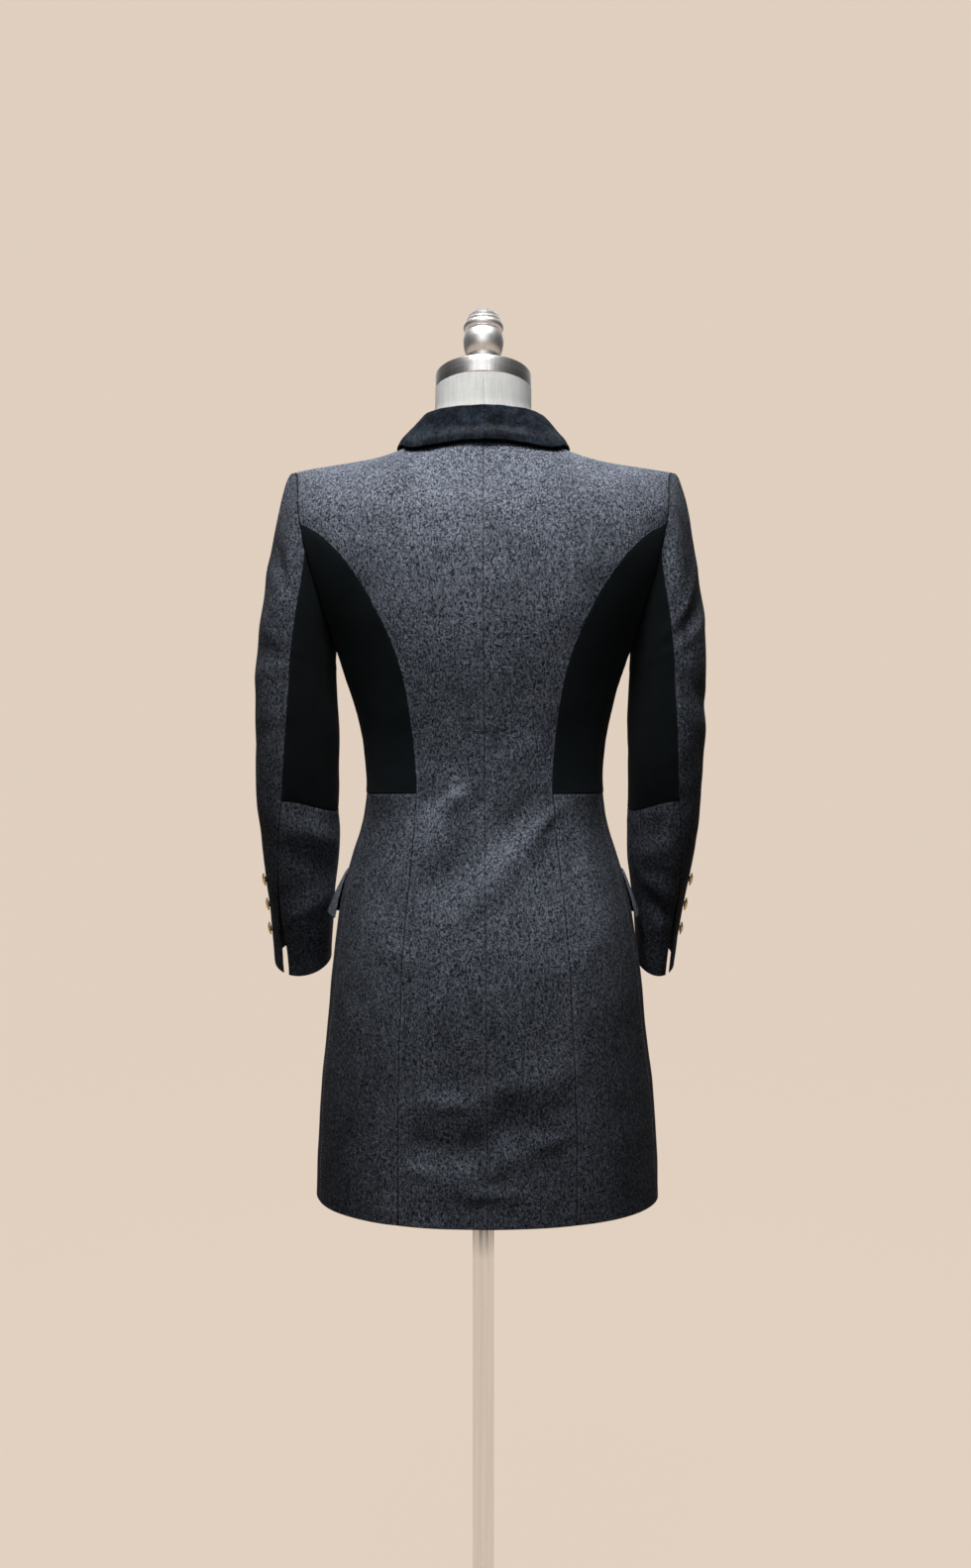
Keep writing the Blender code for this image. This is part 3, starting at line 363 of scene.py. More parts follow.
def through(table, place):
    """Smooth values at a place, through a table's rows: one for each column after the first."""
    rows = table[np.argsort(table[:, 0])]
    at, values = rows[:, 0], rows[:, 1:]
    ends = np.pad(rows, ((1, 1), (0, 0)), "edge")
    slope = (ends[2:, 1:] - ends[:-2, 1:]) / (ends[2:, :1] - ends[:-2, :1])
    place = np.clip(place, at[0], at[-1])
    index = np.clip(np.searchsorted(at, place) - 1, 0, len(at) - 2)
    span = (at[index + 1] - at[index])[..., None]
    part = (place - at[index])[..., None] / span
    bend = (1.0 - part) * slope[index] - part * slope[index + 1]
    smooth = mix(values[index], values[index + 1], ease(part)) + span * part * (1.0 - part) * bend
    return np.moveaxis(smooth, -1, 0) if values.shape[1] > 1 else smooth[..., 0]


def bezier(first, second, third, fourth, part):
    rest = 1.0 - part
    middle = second * 3 * rest * rest * part + third * 3 * rest * part * part
    return first * rest ** 3 + middle + fourth * part ** 3


def opposite(around):
    """Place on the back that lies across from a place on the front."""
    return np.where(around <= 1.0, around, 2.0 - around)


def section(around, height):
    """Points of level sections: around is 0 at the centre back, 1 at the side and 2 at the centre front."""
    around, height = paired(around, height)
    side, back, front, square = through(BODY_SECTIONS, height)
    ahead, part = around > 1.0, opposite(around)
    across = side * bezier(0.0, square, 1.0, 1.0, part)
    along = np.where(ahead, -front, back) * bezier(1.0, 1.0, square, 0.0, part)
    bust = BUST_DEPTH * bell((across - BUST_OUT) / BUST_WIDTH) * bell((height - BUST_HEIGHT) / BUST_LENGTH)
    return stack(across, along - np.where(ahead, bust, 0.0), height)


def top_edge(around):
    """Neckline and shoulder seam."""
    back, part = around <= 1.0, opposite(around)
    turn = np.minimum(part / NECK_PART, 1.0) * math.pi / 2
    depth = np.where(back, NAPE_BACK, -THROAT_FRONT)
    low = np.where(back, NAPE_HEIGHT, THROAT_HEIGHT)
    neck = stack(NECK_HALF_WIDTH * np.sin(turn), depth * np.cos(turn),
                 mix(low, NECK_POINT_HEIGHT, np.sin(turn) ** 2))
    start, end = section(NECK_PART, YOKE)[..., 0], section(1.0, YOKE)[..., 0]
    reach = (section(part, YOKE)[..., 0] - start) / (end - start)
    fall = NECK_DROP * (1.0 - np.exp(-reach * 5.0)) + SHOULDER_SLOPE * reach
    seam = stack(mix(NECK_HALF_WIDTH, SHOULDER_HALF_WIDTH, reach), 0.0, NECK_POINT_HEIGHT - fall)
    return np.where((part <= NECK_PART)[..., None], neck, seam)


def body(around, height):
    """Outer face of the jacket's body on its +X side; over 2 the front runs on past the centre."""
    around, height = paired(around, height)
    past = around > 2.0
    around = np.where(past, 4.0 - around, around)
    point = section(around, np.minimum(height, YOKE))
    low, high = section(around, YOKE), top_edge(around)
    step = 0.004
    rise = (low - section(around, YOKE - step)) / step
    part = np.clip((height - YOKE) / (SHOULDER - YOKE), 0.0, 1.0)[..., None]
    ridge = ease(opposite(around) / NECK_PART)[..., None]
    forward = np.where(around <= 1.0, -1.0, 1.0)
    arrive = mix(stack(0.0, 0.30 * forward, 0.95), stack(0.0, forward, 0.04), ridge)
    over_shoulder = np.maximum(0.62 * np.abs(low[..., 1:2] - high[..., 1:2]), 0.004)
    bent = bezier(low, low + rise * 0.030, high - arrive * mix(0.030, over_shoulder, ridge), high, part)
    point = np.where((height > YOKE)[..., None], bent, point)
    point[..., 0] = np.where(past, -point[..., 0], point[..., 0])
    return point


def plain_normal(around, height):
    step = NORMAL_STEP
    height = np.minimum(height, SHOULDER - step)
    across = body(around + step, height) - body(np.maximum(around - step, 0.0), height)
    across = np.where((around <= step)[..., None], np.array((1.0, 0.0, 0.0)), across)
    return unit(np.cross(body(around, height + step) - body(around, height - step), across))


def body_normal(around, height):
    """Outward direction; back and front come to share it along the shoulder seam."""
    around, height = paired(around, height)
    shoulder = (around > NECK_PART) & (around < 2.0 - NECK_PART)
    near = np.where(shoulder, ease((height - SHOULDER + SHOULDER_BLEND) / SHOULDER_BLEND), 0.0)[..., None]
    below = np.full_like(height, SHOULDER - NORMAL_STEP)
    shared = unit(plain_normal(around, below) + plain_normal(2.0 - around, below))
    return unit(mix(plain_normal(around, height), shared, near))


def face(around, height):
    """Points of the body's outer face and their outward directions."""
    return body(around, height), body_normal(around, height)


def around_at(across, height, front=False):
    """Place round the body where the section is a given distance from the middle."""
    height = np.asarray(height, float)
    low, high = np.zeros_like(height), np.ones_like(height)
    for _ in range(30):
        middle = (low + high) / 2
        inside = section(2.0 - middle if front else middle, height)[..., 0] < across
        low, high = np.where(inside, middle, low), np.where(inside, high, middle)
    return 2.0 - low if front else low


def past_centre(across, height):
    """Place on the far side of the centre front, where a front piece runs on."""
    return 4.0 - around_at(across, height, front=True)


def armhole(turn):
    """Armhole as places on the body: turn is 90 at the shoulder, 0 at the back, -90 under the arm."""
    turn = np.asarray(turn, float)
    reach = np.where(np.abs(turn) <= 90.0, ARMHOLE_BACK, ARMHOLE_FRONT)
    return 1.0 - reach * np.cos(np.radians(turn)), ARMHOLE_MIDDLE + ARMHOLE_HALF * np.sin(np.radians(turn))


def sleeve_section(angle, height):
    across, along, half_width, half_depth, tilt = through(SLEEVE_SECTIONS, height)
    turn, lean = np.radians(angle), np.radians(tilt)
    depth = half_depth * np.sin(turn)
    return stack(across + half_width * np.cos(turn), along + depth * np.cos(lean),
                 height - depth * np.sin(lean))


def sleeve(angle, height):
    """Outer face of the +X sleeve: angle is 0 outside, 90 behind and 180 inside."""
    angle, height = paired(angle, height)
    lower = sleeve_section(angle, np.minimum(height, BICEPS))
    ring = body(*armhole(90.0 - angle)) + np.array((ARMHOLE_GAP, 0.0, 0.0))
    arm = sleeve_section(angle, np.full_like(height, BICEPS))
    outer = np.maximum(np.cos(np.radians(angle)), 0.0)
    rise = ring[..., 2] - arm[..., 2]
    leave = stack(0.002 + 0.011 * outer, 0.007 * np.sin(np.radians(angle)),
                  0.003 * outer - 0.30 * rise * (1.0 - outer ** 2))
    reach = stack(-0.001, 0.0, 0.33 * rise)
    part = np.clip((SHOULDER - height) / (SHOULDER - BICEPS), 0.0, 1.0)[..., None]
    upper = bezier(ring, ring + leave, arm + reach, arm, part)
    return np.where((height > BICEPS)[..., None], upper, lower)


def sleeve_normal(angle, height):
    above = np.minimum(height + NORMAL_STEP, SHOULDER)
    across = sleeve(angle + 1.0, height) - sleeve(angle - 1.0, height)
    return unit(np.cross(across, sleeve(angle, above) - sleeve(angle, above - 2 * NORMAL_STEP)))


def hang(point, side):
    """Place sleeve points on either side, where both arms hang a little to the wearer's left."""
    across, _, half_width, _, _ = through(SLEEVE_SECTIONS, np.clip(point[..., 2], CUFF, BICEPS))
    share = (point[..., 0] - across + half_width) / (2 * half_width)
    swing = through(SLEEVE_SWING, point[..., 2]) * share
    return stack(side * point[..., 0] + swing, point[..., 1], point[..., 2])


def elbow_slope(angle, height):
    turn = np.mod(angle, 360.0)
    inward = np.where(turn < 200.0, ease((turn - 80.0) / 90.0), ease((290.0 - turn) / 90.0))
    return height - 0.014 * inward * bell((height - ELBOW) / 0.045)


def hind(height):
    return through(HIND_SEAM, height)


def fore(height):
    return through(FORE_SEAM, height)


def vent_edge(height):
    opening = VENT_OPENING * ease((VENT_TOP - height) / (VENT_TOP - CUFF))
    return hind(height) + np.degrees(opening / SLEEVE_RADIUS)


# Relief of the cloth


def waves(point, length, seed):
    """Soft uneven waves of about a given length, from -1 to 1."""
    random = np.random.default_rng(seed)
    total = np.zeros(point.shape[:-1])
    for _ in range(9):
        direction = random.normal(size=3)
        direction *= 2 * math.pi / length / np.linalg.norm(direction) * random.uniform(0.6, 1.35)
        total += np.sin(point @ direction + random.uniform(0.0, 2 * math.pi))
    return total / 3.4


def fold_field(rows, across, height):
    """Height of a set of soft folds, each tapered at its ends and uneven along its length."""
    total = np.zeros_like(across)
    for index, (from_x, from_z, to_x, to_z, bow, spread, high) in enumerate(rows):
        length = math.hypot(to_x - from_x, to_z - from_z)
        run_x, run_z = (to_x - from_x) / length, (to_z - from_z) / length
        dx, dz = across - from_x, height - from_z
        along = (dx * run_x + dz * run_z) / length
        beside = dz * run_x - dx * run_z - bow * np.sin(math.pi * np.clip(along, 0.0, 1.0))
        spread = spread * (1.0 + 0.35 * np.sin(5.0 * along + index))
        taper = ease((along + 0.25) / 0.55) * ease((1.25 - along) / 0.55)
        uneven = 1.0 + 0.28 * np.sin(9.0 * along + 2.0 * index)
        total += high * taper * uneven * bell(beside / spread)
    return total


def body_relief(point, around, height):
    """Soft folds and waves of the body's cloth, none at its armholes and shoulder seams."""
    across, up = point[..., 0], point[..., 2]
    to_front = ease((around - 0.85) / 0.30)
    folds = mix(fold_field(BACK_FOLDS, across, up), fold_field(FRONT_FOLDS, across, up), to_front)
    broad = 0.0007 * waves(point, 0.110, 3) + 0.0003 * waves(point, 0.045, 4)
    reach = np.where(around <= 1.0, ARMHOLE_BACK, ARMHOLE_FRONT)
    outside = np.sqrt(((around - 1.0) / reach) ** 2 + ((height - ARMHOLE_MIDDLE) / ARMHOLE_HALF) ** 2)
    calm = ease((outside - 1.0) / 0.20) * ease((SHOULDER - height) / 0.012)
    return sizes().folds * (folds + broad) * calm


def turn_from(angle, place):
    return np.mod(angle - place + 180.0, 360.0) - 180.0


def sleeve_relief(point, angle, height, side):
    total = np.zeros_like(height)
    for _, place, level, rise, reach, spread, depth in SLEEVE_FOLDS[SLEEVE_FOLDS[:, 0] == side]:
        turn = turn_from(angle, place)
        total += depth * bell(turn / reach) * bell((height - level - rise * turn) / spread)
    broad = 0.0006 * waves(point, 0.075, 11 + side) + 0.00025 * waves(point, 0.030, 14 + side)
    calm = ease((SHOULDER - height) / 0.030) * ease((height - CUFF) / 0.020 + 0.35)
    return sizes().folds * (0.85 * total + broad) * calm


def steps(length, step=None):
    """Shares from 0 to 1 with close steps at both ends."""
    last = EDGE_STEPS[-1] + 0.0016
    count = max(int(round((length - 2 * last) / (step or sizes().cell))), 1)
    edge = np.array(EDGE_STEPS)
    return np.concatenate((edge, np.linspace(last, length - last, count + 1), length - edge[::-1])) / length


def edge_distances(grid):
    """Distance of each point of a grid to its first and last column and row, along the grid."""
    across, upward = run_along(grid, 1), run_along(grid)
    return across, across[:, -1:] - across, upward, upward[-1:] - upward


def seam_groove(distance):
    """How far the cloth turns in beside a seam."""
    part = np.clip(1.0 - distance / sizes().seam_roll, 0.0, 1.0)
    return sizes().seam_depth * (1.0 - np.sqrt(1.0 - part ** 2)) + 0.0002 * bell(distance / 0.007)


def finish_relief(grid, relief, seams, distances):
    """Relief, groove, pale edge and painted seam shadow; of the seams, 0 is a free border and 2 an armhole.
    """
    groove, edge, line = np.zeros((3, *grid.shape[:2]))
    puckers = waves(grid, 0.016, 21) + 0.6 * waves(grid, 0.009, 22)
    for distance, seam in zip(distances, seams):
        if seam == 2:
            # Painted shadow in the valley of the armhole seam.
            line = np.maximum(line, np.clip(1.9 - distance / 0.0012, 0.0, 1.0))
            groove = np.maximum(groove, 0.5 * seam_groove(distance))
        elif seam:
            edge = np.maximum(edge, 0.7 * seam * bell((distance - 0.0016) / 0.0007))
            # Painted shadow along the seam's groove.
            line = np.maximum(line, seam * np.clip(1.15 - distance / 0.0009, 0.0, 1.0))
            groove = np.maximum(groove, seam * seam_groove(distance))
            relief = relief + sizes().pucker * puckers * np.exp(-distance / 0.0075) * ease(distance / 0.003)
        else:
            edge = np.maximum(edge, bell(distance / 0.0014))
    return relief, groove, edge, line


# Wash of the cloth, with painted light and shade


def painted_light_places(point):
    """Painted light and shade on the back: lighter and darker places where folds and slopes face towards or
    away from the light.
    """
    total = np.zeros(point.shape[:-1])
    for across, up, reach_along, reach_beside, lean, strength in BACK_PAINTED_LIGHT:
        cos, sin = math.cos(math.radians(lean)), math.sin(math.radians(lean))
        dx, dz = point[..., 0] - across, point[..., 2] - up
        along = (dx * cos + dz * sin) / reach_along
        total += strength * np.exp(-along ** 4) * bell((dz * cos - dx * sin) / reach_beside)
    return total * ease(point[..., 1] / 0.02 + 0.5)


def body_wash_and_painted_light(point):
    """Lightness of the denim's wash with painted light and shade: painted light on the shoulders and seat
    that face up, painted shade at the waist and the sides, and random tone.
    """
    up, out = point[..., 2], np.abs(point[..., 0])
    shoulders = ease((up - 1.088) / 0.17)
    sides = ease((out - 0.085) / 0.075) * ease((1.22 - up) / 0.15)
    plain = 0.56 + 0.36 * shoulders - 0.29 * sides
    # Painted shade at the waist and low on the skirt, painted light on the seat.
    for level, reach, strength in ((1.005, 0.035, -0.19), (0.870, 0.075, 0.12), (0.740, 0.060, -0.09)):
        plain += strength * bell((up - level) / reach)
    # Painted shade on the right shoulder.
    plain -= 0.08 * shoulders * ease((-0.08 - point[..., 0]) / 0.05)
    plain = np.maximum(plain, 0.30) + 0.03 * waves(point, 0.160, 31)
    return plain * (1.0 + painted_light_places(point) + 0.08 * waves(point, 0.050, 34))


def sleeve_wash_and_painted_light(point, angle, height, side):
    """Painted light and shade of the sleeves: painted shade on the upper sleeves, painted light at the sleeve
    head and from the elbow down, painted highlights and shade on the folds, with random streaks and tone.
    """
    up = point[..., 2]
    streaks = waves(point * np.array((1.0, 1.0, 0.25)), 0.010, 35)
    plain = 0.35 + 0.16 * ease((up - 1.29) / 0.05) + 0.10 * ease((1.03 - up) / 0.07)
    total = 1.0 + 0.08 * waves(point, 0.060, 32) + 0.12 * streaks
    for _, place, level, reach, rise, strength in SLEEVE_PAINTED_LIGHT[SLEEVE_PAINTED_LIGHT[:, 0] == side]:
        total += strength * bell(turn_from(angle, place) / reach) * bell((height - level) / rise)
    return plain * total


def even_wash(plain, uneven, length, seed):
    return lambda point: plain + uneven * waves(point, length, seed)


# Meshes


def add_object(name, data):
    item = bpy.data.objects.new(name, data)
    bpy.context.scene.collection.objects.link(item)
    return item


def add_mesh(name, points, faces, finishes, uv=None):
    """Smooth mesh with its finishes and, for each face's corners, its coordinates on the cloth or metal."""
    mesh = bpy.data.meshes.new(name)
    mesh.from_pydata(points, [], faces)
    for finish in finishes:
        mesh.materials.append(finish)
    if uv is not None:
        mesh.uv_layers.new(name="Cloth").data.foreach_set("uv", uv.ravel())
    mesh.shade_smooth()
    return add_object(name, mesh)


def settle(item, node=None):
    """Fix a piece to the one body and in the place of the node that it stands for."""
    if node:
        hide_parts(node)
    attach(item, "root")
    return item


def closed_wall(name, outer, inner, bulge, out, marks, flat, finishes):
    """Closed wall between two grids, rounded over at its border; marks have shares for inside and rim."""
    rows, columns = outer.shape[:2]
    count = rows * columns
    index = np.arange(count).reshape(rows, columns)
    border = np.concatenate((index[0], index[1:, -1], index[-1, -2::-1], index[-2:0:-1, 0]))
    row, column = np.divmod(border, columns)
    within = np.clip(row, 1, rows - 2) * columns + np.clip(column, 1, columns - 2)
    outer, inner, out, flat = (grid.reshape(count, -1) for grid in (outer, inner, out, flat))
    away = unit(outer[border] - outer[within])
    away = away - out[border] * np.sum(away * out[border], axis=1, keepdims=True)
    rim = (outer[border] + inner[border]) / 2 + unit(away) * bulge.ravel()[border, None]
    points = np.concatenate((outer, inner, rim))
    quads = np.stack((index[:-1, :-1], index[:-1, 1:], index[1:, 1:], index[1:, :-1]), axis=-1).reshape(-1, 4)
    ring = 2 * count + np.arange(len(border))
    after, ring_after = np.roll(border, -1), np.roll(ring, -1)
    faces = np.concatenate((quads, quads[:, ::-1] + count,
                            np.stack((after, border, ring, ring_after), axis=-1),
                            np.stack((ring_after, ring, border + count, after + count), axis=-1)))
    middle = quads[len(quads) // 2]
    corner = points[middle]
    if np.dot(np.cross(corner[1] - corner[0], corner[3] - corner[0]), out[middle[0]]) < 0:
        faces = faces[:, ::-1]
    uv = np.concatenate((flat, flat, flat[border]))[faces.ravel()]
    item = add_mesh(name, points.tolist(), faces.tolist(), finishes, uv)
    slots = np.repeat((0, 1, 0), (len(quads), len(quads), 2 * len(border)))
    item.data.polygons.foreach_set("material_index", slots)
    for mark, (values, inside_share, rim_share) in marks.items():
        values = values.ravel()
        values = np.concatenate((values, values * inside_share, values[border] * rim_share))
        item.data.attributes.new(mark, "FLOAT", "POINT").data.foreach_set("value", values)
    return item


def flat_coordinates(across, upward):
    middle = slice(across.shape[1] // 2, across.shape[1] // 2 + 1)
    return np.stack(np.broadcast_arrays(across - across[:, middle], upward[:, middle]), axis=-1)


def shell(node, slot, base, out, relief, seams, place, free=None, wall=WALL, wear=body_wash_and_painted_light, finishes=None):
    """Cloth shell over a grid of base points, in place of a node; place puts points where it hangs."""
    painted_fold_light = np.clip(relief / 0.0030, -1.0, 1.0)
    distances = edge_distances(base)
    relief, groove, edge, line = finish_relief(base, relief, seams, distances)
    outer = base + out * (relief - groove)[..., None]
    spare = 0.0008
    under = np.where(relief > 0.0, relief, np.minimum(relief + spare, 0.0))
    inner = base + out * (under - wall)[..., None]
    bulge = np.zeros(base.shape[:2])
    free = [not seam for seam in seams] if free is None else free
    lap = 0.00012
    every = slice(None)
    borders = ((every, 0), (every, 1)), ((every, -1), (every, -2)), (0, 1), (-1, -2)
    for (border, beside), seam, is_free in zip(borders, seams, free):
        for grid in (outer, inner):
            grid[border] -= unit(base[beside] - base[border]) * lap * bool(seam)
        if is_free:
            bulge[border] = wall / 2
    # Painted light and shade on the folds: lighter on their crests, darker in their troughs.
    wash = wear(place(base)) * (1.0 + 0.25 * painted_fold_light)
    marks = {"wash": (wash, 1.0, 1.0), "edge": (edge, 0.0, 0.6), "seam": (line, 0.0, 1.0)}
    out = unit(place(base + out * 0.001) - place(base))
    item = closed_wall("cloth_" + node, place(outer), place(inner), bulge, out, marks,
                       flat_coordinates(distances[0], distances[2]), finishes or cloth(slot))
    settle(item, node)


def on_body(side):
    """Mirror to a side and swing as the skirt hangs."""
    def place(point):
        swing = SKIRT_SWING * np.maximum(SWING_FROM - point[..., 2], 0.0) / (SWING_FROM - HEM)
        return stack(side * point[..., 0] + swing, point[..., 1], point[..., 2])
    return place


def body_pair(piece, slot, around, height, seams, lift=lambda side: 0.0, hands=SIDES, **extra):
    """The same piece of cloth on both sides of the body, or on the one side in hands."""
    point, out = face(around, height)
    for side, word in hands:
        relief = body_relief(on_body(side)(point), around, height)
        base = point + out * (lift(side) * np.ones_like(height))[..., None]
        shell(f"{piece}_{word}", slot, base, out, relief, seams, on_body(side), **extra)


def underlap(around, height, side):
    """How far the wearer's left front lies below the right one."""
    across = body(around, height)[..., 0]
    return UNDERLAP_DROP * ease((0.105 - across) / 0.030) * ease((1.335 - height) / 0.070) * (side > 0)


def princess(height, front=False):
    return around_at(through(FRONT_PRINCESS if front else BACK_PRINCESS, height), height, front)


def long_edge(front=False):
    """Outer edge of a long panel: up the princess seam, then up the armhole."""
    low = mix(HEM, TIP, steps(TIP - HEM))
    low = np.append(low[:-len(EDGE_STEPS)], TIP)
    turns = mix(TIP_TURN, 90.0, steps(0.090)[len(EDGE_STEPS):])
    hole_around, hole_height = armhole(180.0 - turns if front else turns)
    return np.concatenate((princess(low, front), hole_around)), np.concatenate((low, hole_height))


def patch(left, right, top, across, up):
    """Places of a four-sided patch: left and right run up, top runs across, and the bottom is straight."""
    result = []
    for start, end, ceiling in zip(left, right, top):
        low, high = mix(start[0], end[0], across), mix(start[-1], end[-1], across)
        sides = mix(start[:, None], end[:, None], across[None, :])
        result.append(sides + mix(low, ceiling, up[:, None]) - mix(low, high, up[:, None]))
    return result


def roll_line(part):
    start = past_centre(FRONT_OVERLAP, BREAK_HEIGHT)
    return mix(start, 2.0 - NECK_PART, part), mix(BREAK_HEIGHT, SHOULDER, part)


# Materials


def add_node(tree, kind, inputs=None, **settings):
    """Node with its settings and its inputs, each a value or the socket that it comes from."""
    made = tree.nodes.new(kind)
    for key, value in settings.items():
        setattr(made, key, value)
    fill(tree, made, inputs or {})
    return made


def fill(tree, node, inputs):
    for key, value in inputs.items():
        if isinstance(value, bpy.types.NodeSocket):
            tree.links.new(value, node.inputs[key])
        else:
            node.inputs[key].default_value = value


class Weave:
    """Short way to write a material's nodes."""

    def __init__(self, name):
        self.material = bpy.data.materials.new(name)
        self.material.use_nodes = True
        self.tree = self.material.node_tree

    def node(self, kind, inputs=None, **settings):
        return add_node(self.tree, "ShaderNode" + kind, inputs, **settings)

    def math(self, operation, first, second=0.0):
        return self.node("Math", {0: first, 1: second}, operation=operation).outputs[0]

    def times(self, first, *factors):
        for factor in factors:
            first = self.math("MULTIPLY", first, factor)
        return first

    def span(self, value, low, high, to_low=0.0, to_high=1.0):
        return self.node("MapRange", {"Value": value, "From Min": low, "From Max": high, "To Min": to_low,
                                      "To Max": to_high}).outputs[0]

    def place(self, stretch=(1.0, 1.0, 1.0), turn=0.0, uv=False):
        source = self.node("TexCoord").outputs["UV" if uv else "Object"]
        return self.node("Mapping", {
            "Vector": source, "Scale": stretch, "Rotation": (0.0, 0.0, turn)}).outputs[0]

    def noise(self, scale, detail=2.0, stretch=(1.0, 1.0, 1.0), roughness=0.5, distortion=0.0, uv=False):
        return self.node("TexNoise", {
            "Vector": self.place(stretch, uv=uv), "Scale": scale, "Detail": detail, "Roughness": roughness,
            "Distortion": distortion}).outputs["Fac"]

    def mottle(self, scale, cut, levels, *noise, **settings):
        """Noise, cut between two values and spread between two levels."""
        return self.span(self.noise(scale, *noise, **settings), *cut, *levels)

    def twill(self, scale, degrees, distortion):
        at = self.place(turn=math.radians(degrees), uv=True)
        return self.node("TexWave", {
            "Vector": at, "Scale": scale, "Distortion": distortion, "Detail Scale": 1.0}).outputs["Fac"]

    def blend(self, part, first, second):
        first, second = (value if isinstance(value, bpy.types.NodeSocket) else (*value, 1.0)
                         for value in (first, second))
        return self.node("Mix", {0: part, 6: first, 7: second}, data_type="RGBA").outputs[2]

    def scaled(self, shade, factor):
        return self.node("VectorMath", {0: shade, "Scale": factor}, operation="SCALE").outputs[0]

    def attribute(self, name):
        return self.node("Attribute", attribute_name=name).outputs["Fac"]

    def finish(self, bump=None, **values):
        """Set the shader's sockets; bump is a height, its distance and its strength."""
        if bump:
            given = dict(zip(("Height", "Distance", "Strength"), bump))
            values["Normal"] = self.node("Bump", given).outputs[0]
        values = {key.replace("_", " "): value for key, value in values.items()}
        fill(self.tree, self.tree.nodes["Principled BSDF"], values)


def make_denim(w):
    """Washed denim: close pale yarns on a slate ground, with painted shadow in broken dashes along the seams
    and paler edges; its wash carries painted light and shade.
    """
    wash, pale = w.attribute("wash"), colour("denim_light")
    upright = w.mottle(580.0, (0.38, 0.64), (0.0, 0.62), 1.0, (1.0, 1.0, 0.45))
    crosswise = w.mottle(600.0, (0.38, 0.64), (0.0, 0.40), 1.0, (0.60, 0.60, 1.0))
    winding = w.math("ABSOLUTE", w.math("SUBTRACT", w.noise(330.0, 1.0, (1.0, 1.0, 0.72), 0.5, 0.3), 0.5))
    yarn = w.math("ADD", w.math("ADD", upright, crosswise), w.span(winding, 0.0, 0.10, 0.20, -0.18))
    slub = w.mottle(210.0, (0.35, 0.65), (0.84, 1.12), 2.0, (1.0, 1.0, 0.12))
    patchy = w.mottle(40.0, (0.32, 0.68), (0.90, 1.10), 3.0, (1.0, 1.0, 0.7), 0.6)
    # The wash brings painted light and shade into the denim's colour.
    worn_and_painted_light = w.times(slub, patchy, wash)
    shade = w.blend(w.times(yarn, worn_and_painted_light), w.scaled(colour("denim_dark"), wash), pale)
    flecks = w.mottle(520.0, (0.56, 0.68), (0.0, 0.62), 2.0, (1.0, 1.0, 0.7), 0.6)
    shade = w.blend(w.times(flecks, worn_and_painted_light), shade, (0.330, 0.345, 0.400))
    specks = w.mottle(320.0, (0.42, 0.60), (0.0, 0.75))
    shade = w.blend(w.times(w.attribute("edge"), specks, wash), shade, pale)
    # Painted shadow along the seams, broken into dashes.
    broken = w.mottle(260.0, (0.36, 0.50), (0.45, 1.0))
    shade = w.blend(w.times(w.attribute("seam"), broken), shade, (0.0030, 0.0038, 0.0050))
    w.finish((yarn, 0.0004, 0.8), Base_Color=shade, Roughness=w.span(yarn, 0.0, 1.0, 0.84, 0.95),
             Specular_IOR_Level=0.05, Sheen_Weight=0.01, Sheen_Roughness=0.5)


def make_black(w):
    fuzz = w.noise(420.0, 3.0, (1.0, 1.0, 0.5), 0.6)
    # The wash brings painted shade into the under sleeves, and random tone into the side panels.
    worn_and_painted_light = w.times(w.attribute("wash"), w.span(fuzz, 0.2, 0.8, 0.75, 1.3))
    patchy = w.mottle(18.0, (0.3, 0.7), (0.80, 1.20), 3.0)
    ribs = w.math("ADD", w.times(w.twill(420.0, 45.0, 0.4), 0.5), fuzz)
    w.finish((ribs, 0.00025, 0.6), Base_Color=w.scaled(colour("black"), w.times(patchy, worn_and_painted_light)),
             Roughness=0.94, Specular_IOR_Level=0.08, Sheen_Weight=0.01, Sheen_Roughness=0.6)


def make_collar_cloth(w):
    nap = w.noise(300.0, 3.0, (1.0, 1.0, 0.6), 0.6)
    smudge = w.mottle(70.0, (0.42, 0.68), (0.50, 2.60), 5.0, roughness=0.70)
    shade = w.scaled(colour("collar"), w.times(smudge, w.span(nap, 0.30, 0.70, 0.55, 1.50)))
    # Lighter where the wash is high: a painted highlight along the collar's rolled edge, and random tone on
    # the lapels.
    rubbed_and_painted_highlight = w.times(w.attribute("wash"), w.span(nap, 0.35, 0.65, 0.25, 1.0), 0.13)
    pale = w.math("MAXIMUM", rubbed_and_painted_highlight, w.mottle(420.0, (0.64, 0.74), (0.0, 0.14)))
    w.finish((nap, 0.0003, 0.7), Base_Color=w.blend(pale, shade, colour("denim_light")), Roughness=0.88,
             Specular_IOR_Level=0.05, Sheen_Weight=0.01, Sheen_Roughness=0.45)


def make_inside(w):
    fine = w.mottle(380.0, (0.3, 0.7), (0.0, 1.0), 2.0, (1.0, 1.0, 0.6))
    shade = w.blend(fine, (0.020, 0.022, 0.028), (0.060, 0.063, 0.074))
    w.finish((w.twill(350.0, -62.0, 0.5), 0.0002, 0.5), Base_Color=shade, Roughness=0.93,
             Specular_IOR_Level=0.2)


def make_thread(w, shade=(0.135, 0.140, 0.165), low=0.75, roughness=0.75, sheen=0.1):
    fine = w.mottle(900.0, (0.3, 0.7), (low, 1.2))
    w.finish(Base_Color=w.scaled(shade, fine), Roughness=roughness, Sheen_Weight=sheen)


def make_dark_thread(w):
    make_thread(w, (0.22, 0.21, 0.19), 0.7, 0.8, 0.0)


